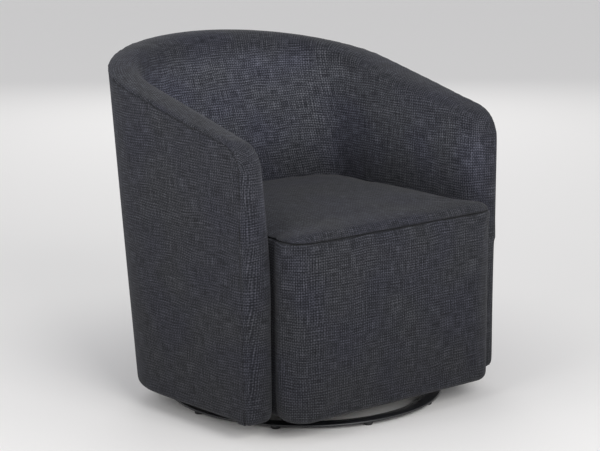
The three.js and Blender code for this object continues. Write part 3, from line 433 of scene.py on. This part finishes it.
# Camera, floor and light
def make_camera():
    """The camera, where the photograph was taken from."""
    away = Vector((
        math.sin(VIEW_AZIMUTH) * math.cos(VIEW_ELEVATION),
        -math.cos(VIEW_AZIMUTH) * math.cos(VIEW_ELEVATION),
        math.sin(VIEW_ELEVATION),
    ))
    level_right = Vector((math.cos(VIEW_AZIMUTH), math.sin(VIEW_AZIMUTH), 0.0))
    right = level_right * math.cos(VIEW_ROLL) + away.cross(level_right) * math.sin(VIEW_ROLL)
    turn = Matrix((right, away.cross(right), away)).transposed().to_4x4()
    bpy.ops.object.camera_add()
    camera = bpy.context.object
    camera.matrix_world = Matrix.Translation(VIEW_AIM + away * VIEW_DISTANCE) @ turn
    camera.data.sensor_width = SENSOR_MM
    camera.data.lens = LENS_MM
    bpy.context.scene.camera = camera


def make_floor():
    """A pale floor. The camera and a gloss see it lighter than what it throws on the chair, but not under
    the chair, where its shadow stays."""
    bpy.ops.mesh.primitive_plane_add(size=FLOOR_SIZE)
    floor = bpy.context.object
    floor.name = "floor"
    material, tree, shader = new_material("matt_floor_paint", Roughness=0.9)
    shader.inputs["Base Color"].default_value = linear("#f0eeeb")
    path = add(tree, "ShaderNodeLightPath")
    seen = add(tree, "ShaderNodeMath", operation="MAXIMUM",
               links={0: path.outputs["Is Camera Ray"], 1: path.outputs["Is Glossy Ray"]})
    point = add(tree, "ShaderNodeTexCoord")
    away = add(tree, "ShaderNodeVectorMath", links={0: point.outputs["Object"]}, operation="LENGTH")
    lift = add(tree, "ShaderNodeMapRange",
               {"From Min": SHADE_REACH, "From Max": LIFT_REACH, "To Max": FLOOR_LIFT},
               {"Value": away.outputs["Value"]}, interpolation_type="SMOOTHSTEP")
    share = add(tree, "ShaderNodeMath", links={0: seen.outputs[0], 1: lift.outputs[0]}, operation="MULTIPLY")
    pale = add(tree, "ShaderNodeEmission", {"Color": linear("#fbfaf8"), "Strength": 1.0})
    mixed = add(tree, "ShaderNodeMixShader",
                links={0: share.outputs[0], 1: shader.outputs[0], 2: pale.outputs[0]})
    tree.links.new(mixed.outputs[0], tree.nodes["Material Output"].inputs["Surface"])
    floor.data.materials.append(material)


def make_lamps():
    """Three wide square lamps, all aimed at the chair's middle."""
    for name, (place, watts) in LAMPS.items():
        bpy.ops.object.light_add(type="AREA", location=place)
        lamp = bpy.context.object
        lamp.name = name
        lamp.data.shape = "SQUARE"
        lamp.data.size = LAMP_SIZE
        lamp.data.energy = watts
        lamp.rotation_mode = "QUATERNION"
        lamp.rotation_quaternion = (LIGHT_AIM - place).to_track_quat("-Z", "Y")


def make_world():
    """Soft light from all round. The camera, a gloss and glass see plain white instead."""
    world = bpy.data.worlds.new("studio")
    world.use_nodes = True
    bpy.context.scene.world = world
    tree = world.node_tree
    ambient = tree.nodes["Background"]
    ambient.inputs["Color"].default_value = linear("#f4f6ff")
    ambient.inputs["Strength"].default_value = WORLD_STRENGTH
    white = add(tree, "ShaderNodeBackground", {"Color": linear("#ffffff"), "Strength": 1.0})
    path = add(tree, "ShaderNodeLightPath")
    share = path.outputs["Is Camera Ray"]
    for ray in ("Is Glossy Ray", "Is Transmission Ray"):
        seen = add(tree, "ShaderNodeMath", links={0: share, 1: path.outputs[ray]}, operation="MAXIMUM")
        share = seen.outputs[0]
    mixed = add(tree, "ShaderNodeMixShader", links={0: share, 1: ambient.outputs[0], 2: white.outputs[0]})
    tree.links.new(mixed.outputs[0], tree.nodes["World Output"].inputs["Surface"])


# Threads
OUTER_GIRTH_SHARE = 0.5  # the height at which the way round the outer face is measured
INNER_GIRTH_SHARE = 0.7
SIZE_SHARES = (0.15, 0.3, 0.45, 0.6, 0.7, 0.8, 0.88)  # the heights at which a face's width is measured
LOST_REACH = 300 * MM  # stands for a face's distance where a ray misses it
CROWN_RISE = 27 * MM  # from the seat's seam up to where the cushion's side turns into its top
ROLL_FACING = 0.4  # how far outwards the cloth faces, as a cosine, once it is past the top of the roll
SEAM_REACH = 30 * MM  # as far from a seam as the distance to it is measured


def axis_y(z):
    """Where the barrel is widest, which moves back as it rises."""
    return lerp(AXIS_FOOT_Y, AXIS_RIM_Y, (z - FOOT_Z) / (RIM_Z - FOOT_Z))


def rim_height(y):
    """The height of the rim at a distance to the front or back."""
    if y > CORNER_Y:
        return RIM_Z - RIM_SLOPE * (RIM_BACK_Y - y)
    return CORNER_Z + math.sqrt(max(0.0, CORNER_RADIUS ** 2 - (CORNER_Y - y) ** 2))


class BarrelFace:
    """The inner or outer face of a node of the barrel. It gives the distance round from the middle of the
    back."""

    heights = [lerp(FOOT_Z, RIM_Z, share) for share in SIZE_SHARES]
    degrees = list(range(91))

    def __init__(self, node, outer, height):
        self.tree = surface_of(node)
        self.outer = outer
        self.widths = [self.reach(z, 90) for z in self.heights]
        self.depths = [self.reach(z, 0) for z in self.heights]
        width, depth = self.size(height)
        places = []
        for degree in self.degrees:
            angle = math.radians(degree)
            heading = math.degrees(math.atan2(math.sin(angle) * width, math.cos(angle) * depth))
            reach = self.reach(height, heading)
            places.append((reach * math.sin(math.radians(heading)), reach * math.cos(math.radians(heading))))
        gaps = np.hypot(*np.diff(np.array(places), axis=0).T)
        self.lengths = np.concatenate([[0.0], np.cumsum(gaps)])

    def reach(self, z, heading):
        """How far the face is from the axis at a height, in a heading given in degrees from the back."""
        way = Vector((math.sin(math.radians(heading)), math.cos(math.radians(heading)), 0.0))
        axis = Vector((0.0, axis_y(z), z))
        start, aim = (axis + way, -way) if self.outer else (axis, way)
        hit = self.tree.ray_cast(start, aim)[0]
        return (hit - axis).length if hit else LOST_REACH

    def size(self, z):
        """The face's half width and its depth at a height."""
        return np.interp(z, self.heights, self.widths), np.interp(z, self.heights, self.depths)

    def round(self, co):
        """The signed distance round from the middle of the back to a point."""
        back = co.y - axis_y(co.z)
        if back < 0:
            return math.copysign(self.lengths[-1] - back, co.x)
        width, depth = self.size(co.z)
        angle = math.degrees(math.atan2(abs(co.x) / width, back / depth))
        return math.copysign(np.interp(angle, self.degrees, self.lengths), co.x)


outer_face = BarrelFace("outside_cover", True, lerp(FOOT_Z, RIM_Z, OUTER_GIRTH_SHARE))
inner_face = BarrelFace("inside_back", False, lerp(FOOT_Z, RIM_Z, INNER_GIRTH_SHARE))


def cover_threads(co, normal):
    """Round the barrel and straight up."""
    return outer_face.round(co), co.z


def seat_threads(co, normal):
    """Straight threads over the crown, carried on down its sides."""
    drop = SEAM_Z + CROWN_RISE - co.z
    return co.x + normal.x * drop, co.y + normal.y * drop


def panel_threads(co, normal):
    """Level with the floor, and round the two corners."""
    along = abs(co.x) - (PANEL_HALF - PANEL_CORNER)
    ahead = PANEL_FRONT_Y + PANEL_CORNER - co.y
    if along <= 0:
        return co.x, co.z
    turned = PANEL_CORNER * (math.atan2(along, ahead) if ahead > 0 else math.pi / 2)
    far = PANEL_HALF - PANEL_CORNER + turned + max(0.0, -ahead)
    return math.copysign(far, co.x), co.z


class InsideFace:
    """The inside of the back and arms, and the rim that the same cloth rolls over."""

    nodes = ("inside_back", "inside_arm_left", "inside_arm_right", "rim_band")

    def __init__(self):
        self.tree = surface_of(*self.nodes)

    def over(self, co):
        """How far out a point lies from the inner face, and the way out."""
        z = min(co.z, rim_height(co.y) - RIM_ROLL)
        y = max(co.y, ARM_FRONT_Y + ARM_FRONT_DEPTH)
        axis = Vector((0.0, min(y, axis_y(z)), z))
        way = Vector((co.x, y - axis.y, 0.0))
        outwards = way.normalized()
        hit = self.tree.ray_cast(axis, outwards)[0]
        return (max(0.0, way.length - (hit - axis).length) if hit else 0.0), outwards

    def threads(self, co, normal):
        """Up the inside and over the rim, or round and over the arm front, down to the outer seam. Past the
        top, a thread's length still grows as it falls, so twice the fall is added to the height."""
        over, outwards = self.over(co)
        turned = math.atan2(co.z - CORNER_Z, max(CORNER_Y - co.y, MM)) / (math.pi / 2)
        rim_share = 1.0 if co.y > CORNER_Y else smooth(turned)
        past = smooth(normal.dot(outwards) / ROLL_FACING)
        fall = 2 * past * max(0.0, rim_height(co.y) - co.z)
        back = 2 * past * max(0.0, co.y - ARM_FRONT_Y)
        along = abs(inner_face.round(co)) + (over + back) * (1 - rim_share)
        return math.copysign(along, co.x), co.z + (over + fall) * rim_share


def lay_threads(piece, place):
    """Writes where the threads run, in metres, as the piece's UV map."""
    mesh = piece.data
    for layer in list(mesh.uv_layers):
        mesh.uv_layers.remove(layer)
    layer = mesh.uv_layers.new(name="threads")
    places = [place(vertex.co, vertex.normal) for vertex in mesh.vertices]
    loops = np.zeros(len(mesh.loops), np.int32)
    mesh.loops.foreach_get("vertex_index", loops)
    layer.uv.foreach_set("vector", np.array(places, np.float32)[loops].ravel())


def lay_seam(piece, neighbour):
    """Writes each point's distance in metres to the piece that this one is sewn to."""
    tree = surface_of(neighbour)
    layer = piece.data.attributes.new("seam", "FLOAT", "POINT")
    gaps = [tree.find_nearest(vertex.co, SEAM_REACH)[3] for vertex in piece.data.vertices]
    layer.data.foreach_set("value", [SEAM_REACH if gap is None else gap for gap in gaps])


# Sewn pieces
WELD = 0.01 * MM
SHARP = math.radians(40)
QUAD_BEND = math.radians(60)  # two triangles that meet flatter than this are joined to a quad
QUAD_SKEW = math.radians(80)  # and that quad's corners may be this far from square
PUFF_FRAMES = 20
PRESSURE = 4.0
TINY = 1e-9
FUSE = 1.2 * MM  # closes the gaps between the pads under one cover
RIM_FILL = 3.5 * MM  # makes good what smoothing takes off the narrow rim
FACING_AHEAD = 100 * MM  # the inside faces a line this far ahead of the barrel's axis
INSIDE_FACING = 0.4  # as a cosine, as all facings are
TOP_FACING = 0.3
ARM_FRONT_FACING = 0.5
CREASE_X = 272 * MM  # from the middle to the upright seam between the back and an arm
CREASE_TOP_Z = 640 * MM
CREASE_WIDTH = 8 * MM
CREASE_DEPTH = 5 * MM
PAINTED_LIGHT_FACING = 0.5
PAINTED_LIGHT_EDGE = 60 * MM  # over which the painted light on the inside fades out, below the rim
PAINTED_LIGHT_RISE = 130 * MM  # and above the seat
SEAT_FOOT = 3 * MM  # the cushion is held up to here above its seam
SEAT_EDGE = 95 * MM  # how far back the cushion's front edge is fuller
SEAT_EDGE_START = 9 * MM  # over which the fullness sets in, above the seam
SEAT_EDGE_RISE = 5 * MM
SEAT_EDGE_PUSH = 8 * MM
FRONT_FACING = 0.3
FRONT_SIDE_FACING = 0.5


def sewn_copy(node, name, levels, sharp=SHARP):
    """A copy of a node's solid: its triangles joined to quads, then subdivided with its sharp edges kept."""
    piece = bpy.data.objects.new(name, frame["nodes"][node].data.copy())
    bpy.context.collection.objects.link(piece)
    piece.data.name = name
    piece.data.materials.clear()
    choose(piece)
    bpy.ops.mesh.customdata_custom_splitnormals_clear()
    bpy.ops.object.mode_set(mode="EDIT")
    bpy.ops.mesh.select_all(action="SELECT")
    bpy.ops.mesh.remove_doubles(threshold=WELD)
    bpy.ops.mesh.tris_convert_to_quads(face_threshold=QUAD_BEND, shape_threshold=QUAD_SKEW)
    bpy.ops.mesh.select_all(action="DESELECT")
    bpy.ops.mesh.select_mode(type="EDGE")
    bpy.ops.mesh.edges_select_sharp(sharpness=sharp)
    bpy.ops.transform.edge_crease(value=1.0)
    bpy.ops.object.mode_set(mode="OBJECT")
    modify(piece, "SUBSURF", levels=levels, render_levels=levels)
    return piece


def puff(piece, voxel, evened, most, held):
    """Blows a piece up as cloth. Held points stay, and no other point moves further than most."""
    modify(piece, "REMESH", mode="VOXEL", voxel_size=voxel)
    modify(piece, "SMOOTH", factor=0.5, iterations=evened)
    start = points_of(piece.data)
    group = piece.vertex_groups.new(name="held")
    group.add([v.index for v in piece.data.vertices if held(v.co, v.normal)], 1.0, "REPLACE")
    cloth = piece.modifiers.new("cloth", "CLOTH")
    cloth.settings.quality = 3
    cloth.settings.use_pressure = True
    cloth.settings.uniform_pressure_force = PRESSURE
    cloth.settings.vertex_group_mass = group.name
    cloth.settings.effector_weights.gravity = 0.0
    cloth.collision_settings.use_collision = False
    cloth.point_cache.frame_end = PUFF_FRAMES
    for step in range(1, PUFF_FRAMES + 1):
        bpy.context.scene.frame_set(step)
    shown = piece.evaluated_get(bpy.context.evaluated_depsgraph_get())
    moves = points_of(shown.data) - start
    lengths = np.maximum(np.linalg.norm(moves, axis=1), TINY)[:, None]
    ended = start + moves * most * np.tanh(lengths / most) / lengths
    piece.modifiers.remove(cloth)
    bpy.context.scene.frame_set(1)
    piece.vertex_groups.clear()
    piece.data.vertices.foreach_set("co", ended.astype(np.float32).ravel())
    piece.data.update()


def sew(piece, nodes, threads, neighbour):
    """Lays the threads and the seam, gives the cloth and hands the piece to the chair's body."""
    choose(piece)
    bpy.ops.object.shade_smooth()
    lay_threads(piece, threads)
    lay_seam(piece, neighbour)
    piece.data.materials.append(MATERIALS["charcoal_cloth"])
    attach(piece, "body")
    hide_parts(*nodes)


def make_cover():
    """The outer cloth over its backing."""
    sew(sewn_copy("outside_cover", "cover", levels=3), ["outside_cover"], cover_threads, "rim_band")


def inside_held(co, normal):
    """Holds the side that lies against the frame, and the lap on the outside. The inner side, the top of the
    rim and the arm fronts swell."""
    inwards = Vector((-co.x, axis_y(co.z) - FACING_AHEAD - co.y, 0.0)).normalized()
    inner = normal.dot(inwards) >= INSIDE_FACING
    top = normal.z > TOP_FACING and co.z > rim_height(co.y) - RIM_ROLL
    arm_front = normal.y < -ARM_FRONT_FACING and co.y < CORNER_Y
    return not (inner or top or arm_front)


def corner_crease(co, normal):
    """The soft creases where the back meets the arms. They fade out as they rise."""
    if co.y < axis_y(co.z) or not PAD_FOOT_Z < co.z < CREASE_TOP_Z or inside_held(co, normal):
        return co
    near = math.exp(-((abs(co.x) - CREASE_X) / CREASE_WIDTH) ** 2)
    fade = 1 - smooth((co.z - SEAM_Z) / (CREASE_TOP_Z - SEAM_Z))
    return co - normal * (CREASE_DEPTH * near * fade)


def inside_painted_light(co, normal):
    """How much painted light makes the cloth paler: on the inside, between the seat and the rim, where light
    falls.
    """
    outwards = Vector((co.x, co.y - min(co.y, axis_y(co.z)), 0.0)).normalized()
    facing = smooth(-normal.dot(outwards) / PAINTED_LIGHT_FACING)
    return facing * smooth((rim_height(co.y) - co.z) / PAINTED_LIGHT_EDGE) * smooth((co.z - SEAM_Z) / PAINTED_LIGHT_RISE)


def make_inside():
    """The pads and the rim's padding under their one cover, which rolls over the rim to the outer seam."""
    parts = [sewn_copy(node, node + "_copy", levels=2) for node in InsideFace.nodes]
    for part in parts:
        swell = RIM_FILL if part.name.startswith("rim_band") else FUSE
        modify(part, "DISPLACE", strength=swell, mid_level=0.0)
    choose(parts[0])
    for part in parts:
        part.select_set(True)
    bpy.ops.object.join()
    piece = parts[0]
    piece.name = piece.data.name = "inside_cover"
    puff(piece, voxel=8 * MM, evened=6, most=4 * MM, held=inside_held)
    modify(piece, "SUBSURF", levels=1, render_levels=1)
    shape(piece, corner_crease)
    # Painted light, kept as an attribute: how much paler the inside is painted.
    painted_light = piece.data.attributes.new("painted_light", "FLOAT", "POINT")
    painted_light.data.foreach_set("value", [inside_painted_light(point.co, point.normal) for point in piece.data.vertices])
    sew(piece, InsideFace.nodes, InsideFace().threads, "outside_cover")


def seat_held(co, normal):
    """Holds the cushion's underside and its seam."""
    return co.z < SEAM_Z + SEAT_FOOT


def full_seat_edge(co, normal):
    """The cushion's front edge is stuffed fuller, so it rises steeply from the seam."""
    back = (co.y - PANEL_FRONT_Y) / SEAT_EDGE
    above = smooth((co.z - SEAM_Z) / SEAT_EDGE_START)
    full = above * smooth(1 - back)
    return co + normal * (SEAT_EDGE_PUSH * full) + Vector((0.0, 0.0, SEAT_EDGE_RISE * full))


def make_seat():
    """The crowned seat cushion."""
    piece = sewn_copy("seat_pad", "seat_cushion", levels=1)
    puff(piece, voxel=6 * MM, evened=2, most=7 * MM, held=seat_held)
    modify(piece, "SUBSURF", levels=1, render_levels=1)
    shape(piece, full_seat_edge)
    sew(piece, ["seat_pad"], seat_threads, "front_panel")


def front_held(co, normal):
    """Holds the panel's back, top and bottom. Its face and its rounded corners swell."""
    return normal.y > -FRONT_FACING and abs(normal.x) < FRONT_SIDE_FACING


def make_front():
    """The padded panel under the seat's front seam."""
    piece = sewn_copy("front_panel", "seat_front", levels=2)
    puff(piece, voxel=6 * MM, evened=2, most=3 * MM, held=front_held)
    modify(piece, "SUBSURF", levels=1, render_levels=1)
    sew(piece, ["front_panel"], panel_threads, "seat_pad")


# Foam, lining and coil springs
LINING_GRID = 20 * MM
LINING_SAG = 4 * MM
LINING_SPAN = 70 * MM  # how far from the frame the lining hangs at its lowest
LINING_RIPPLES = 22.0  # a metre
LINING_THICKNESS = 0.5 * MM
LINING_FRAME = ("bottom_rib", "front_board", "cross_rail_front", "cross_rail_rear", "side_rail_left",
                "side_rail_right", "cradle_rail_left", "cradle_rail_right")
DOWN_FACING = 0.9
STAPLE_LENGTH = 11 * MM
STAPLE_WIRE = 1.3 * MM
STAPLE_RISE = 0.9 * MM
STAPLE_SINK = STAPLE_RISE / 4  # from the lining's lower face down to the middle of a crown
STAPLE_ROUND = STAPLE_RISE / 3
STAPLE_STEP = 34 * MM
STAPLE_INSET = 9 * MM
CRADLE_SPRINGS = ("cradle_spring_front_left", "cradle_spring_front_right", "cradle_spring_rear_left",
                  "cradle_spring_rear_right")
WIRE_SHARP = math.radians(100)  # keeps no edge sharp along a round wire


def body_piece(piece, slot, nodes=()):
    """Finishes a piece that rides on the chair's body."""
    piece.data.materials.clear()
    piece.data.materials.append(MATERIALS[slot])
    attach(piece, "body")
    if nodes:
        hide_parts(*nodes)


def make_foam():
    """The foam block, its hot-wire edges a little rounded."""
    piece = sewn_copy("seat_foam", "foam_block", levels=1)
    modify(piece, "REMESH", mode="VOXEL", voxel_size=8 * MM)
    modify(piece, "SMOOTH", factor=0.5, iterations=2)
    choose(piece)
    bpy.ops.object.shade_smooth()
    body_piece(piece, "seat_foam", ["seat_foam"])


def cut_grid(piece, low, high, step):
    """Cuts a flat piece along a grid, so that it can sag."""
    choose(piece)
    bpy.ops.object.mode_set(mode="EDIT")
    for axis, way in enumerate((Vector((1.0, 0.0, 0.0)), Vector((0.0, 1.0, 0.0)))):
        for cut in range(1, int((high[axis] - low[axis]) / step)):
            bpy.ops.mesh.select_all(action="SELECT")
            bpy.ops.mesh.bisect(plane_co=low + way * (cut * step), plane_no=way)
    bpy.ops.object.mode_set(mode="OBJECT")


def make_lining():
    """The lining under the chair: the lower face of its solid, sagging between the rails it is stapled to."""
    piece = bpy.data.objects.new("lining", frame["nodes"]["dust_cover"].data.copy())
    bpy.context.collection.objects.link(piece)
    choose(piece)
    bpy.ops.object.mode_set(mode="EDIT")
    bpy.ops.mesh.select_mode(type="FACE")
    bpy.ops.mesh.select_all(action="DESELECT")
    bpy.ops.object.mode_set(mode="OBJECT")
    for face in piece.data.polygons:
        face.select = face.normal.z > -DOWN_FACING
    bpy.ops.object.mode_set(mode="EDIT")
    bpy.ops.mesh.delete(type="FACE")
    bpy.ops.mesh.select_all(action="SELECT")
    bpy.ops.mesh.remove_doubles(threshold=WELD)
    bpy.ops.object.mode_set(mode="OBJECT")
    low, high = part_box("dust_cover")
    cut_grid(piece, low, high, LINING_GRID)
    rails = surface_of(*LINING_FRAME)

    def hang(co, normal):
        gap = rails.find_nearest(co, LINING_SPAN)[3]
        free = smooth((LINING_SPAN if gap is None else gap) / LINING_SPAN)
        ripple = 0.5 + 0.5 * noise.noise(co * LINING_RIPPLES)
        return co - Vector((0.0, 0.0, LINING_SAG * free * ripple))

    shape(piece, hang)
    modify(piece, "SOLIDIFY", thickness=LINING_THICKNESS, offset=-1.0)
    bpy.ops.object.shade_smooth()
    body_piece(piece, "black_lining", ["dust_cover"])


def make_staples():
    """The staples round the lining's edge, one wire crown copied along the outline."""
    low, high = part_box("dust_cover")
    tree = surface_of("dust_cover")
    middle = (low + high) / 2
    outline = []
    for degree in range(360):
        way = Vector((math.cos(math.radians(degree)), math.sin(math.radians(degree)), 0.0))
        outline.append(tree.ray_cast(middle + way, -way)[0] - way * STAPLE_INSET)
    crowns, run = [], 0.0
    for start, end in zip(outline, outline[1:] + outline[:1]):
        run += (end - start).length
        if run < STAPLE_STEP:
            continue
        run = 0.0
        turn = math.atan2(end.y - start.y, end.x - start.x)
        place = Vector((end.x, end.y, low.z - STAPLE_SINK))
        bpy.ops.mesh.primitive_cube_add(size=1.0, location=place, rotation=(0.0, 0.0, turn),
                                        scale=(STAPLE_LENGTH, STAPLE_WIRE, STAPLE_RISE))
        crown = bpy.context.object
        modify(crown, "BEVEL", width=STAPLE_ROUND, segments=2)
        crowns.append(crown)
    choose(crowns[0])
    for crown in crowns:
        crown.select_set(True)
    bpy.ops.object.join()
    piece = crowns[0]
    piece.name = piece.data.name = "lining_staples"
    bpy.ops.object.transform_apply()
    body_piece(piece, "zinc_steel")


def make_coils():
    """The cradle's coil springs, copied from their solids with their wire rounded."""
    for node in CRADLE_SPRINGS:
        piece = sewn_copy(node, node.replace("cradle_spring", "coil"), levels=1, sharp=WIRE_SHARP)
        bpy.ops.object.shade_smooth()
        piece.data.materials.append(MATERIALS[SLOTS[node]])
        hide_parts(node)
        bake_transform(piece)


# Hard parts
REPLACED_NODES = InsideFace.nodes + CRADLE_SPRINGS + ("outside_cover", "front_panel", "seat_pad", "seat_foam",
                                                      "dust_cover")
EDGE_WIDTHS = {
    "black_steel": 0.8 * MM,
    "zinc_steel": 0.5 * MM,
    "frame_timber": 2 * MM,
    "bent_ply": 1 * MM,
    "black_plastic": 1.2 * MM,
    "black_rubber": 1.5 * MM,
}
SMOOTH_ANGLE = math.radians(32)
FLAT_ANGLE = math.radians(1)


def rounded_shading():
    """Nodes that shade all faces smooth, and keep the edges sharper than the angle."""
    group = bpy.data.node_groups.new("rounded_shading", "GeometryNodeTree")
    group.interface.new_socket("Mesh", in_out="INPUT", socket_type="NodeSocketGeometry")
    group.interface.new_socket("Mesh", in_out="OUTPUT", socket_type="NodeSocketGeometry")
    start = group.nodes.new("NodeGroupInput")
    faces = add(group, "GeometryNodeSetShadeSmooth", links={"Geometry": start.outputs[0]})
    angle = add(group, "GeometryNodeInputMeshEdgeAngle")
    sharp = add(group, "FunctionNodeCompare", {1: SMOOTH_ANGLE}, {0: angle.outputs["Unsigned Angle"]},
                operation="GREATER_THAN")
    edges = add(group, "GeometryNodeSetShadeSmooth", {"Shade Smooth": False},
                {"Geometry": faces.outputs[0], "Selection": sharp.outputs[0]}, domain="EDGE")
    add(group, "NodeGroupOutput", links={0: edges.outputs[0]})
    return group


def finish_hard_parts():
    """Gives the rigid nodes their finishes, and rounds their edges. Their meshes stay as they are."""
    shading = rounded_shading()
    for node, piece in frame["nodes"].items():
        if node in REPLACED_NODES:
            continue
        piece.data.materials.clear()
        piece.data.materials.append(MATERIALS[SLOTS[node]])
        piece.modifiers.new("weld", "WELD").merge_threshold = WELD
        if "spring" in node:
            rounds = piece.modifiers.new("round_wire", "SUBSURF")
            rounds.levels = rounds.render_levels = 1
        else:
            flats = piece.modifiers.new("flats", "DECIMATE")
            flats.decimate_type = "DISSOLVE"
            flats.angle_limit = FLAT_ANGLE
            edges = piece.modifiers.new("edges", "BEVEL")
            edges.width = EDGE_WIDTHS[SLOTS[node]]
            edges.segments = 2
            edges.limit_method = "ANGLE"
            edges.angle_limit = SMOOTH_ANGLE
        piece.modifiers.new("shading", "NODES").node_group = shading


make_camera()
make_floor()
make_lamps()
make_world()
make_cover()
make_inside()
make_seat()
make_front()
make_foam()
make_lining()
make_staples()
make_coils()
finish_hard_parts()
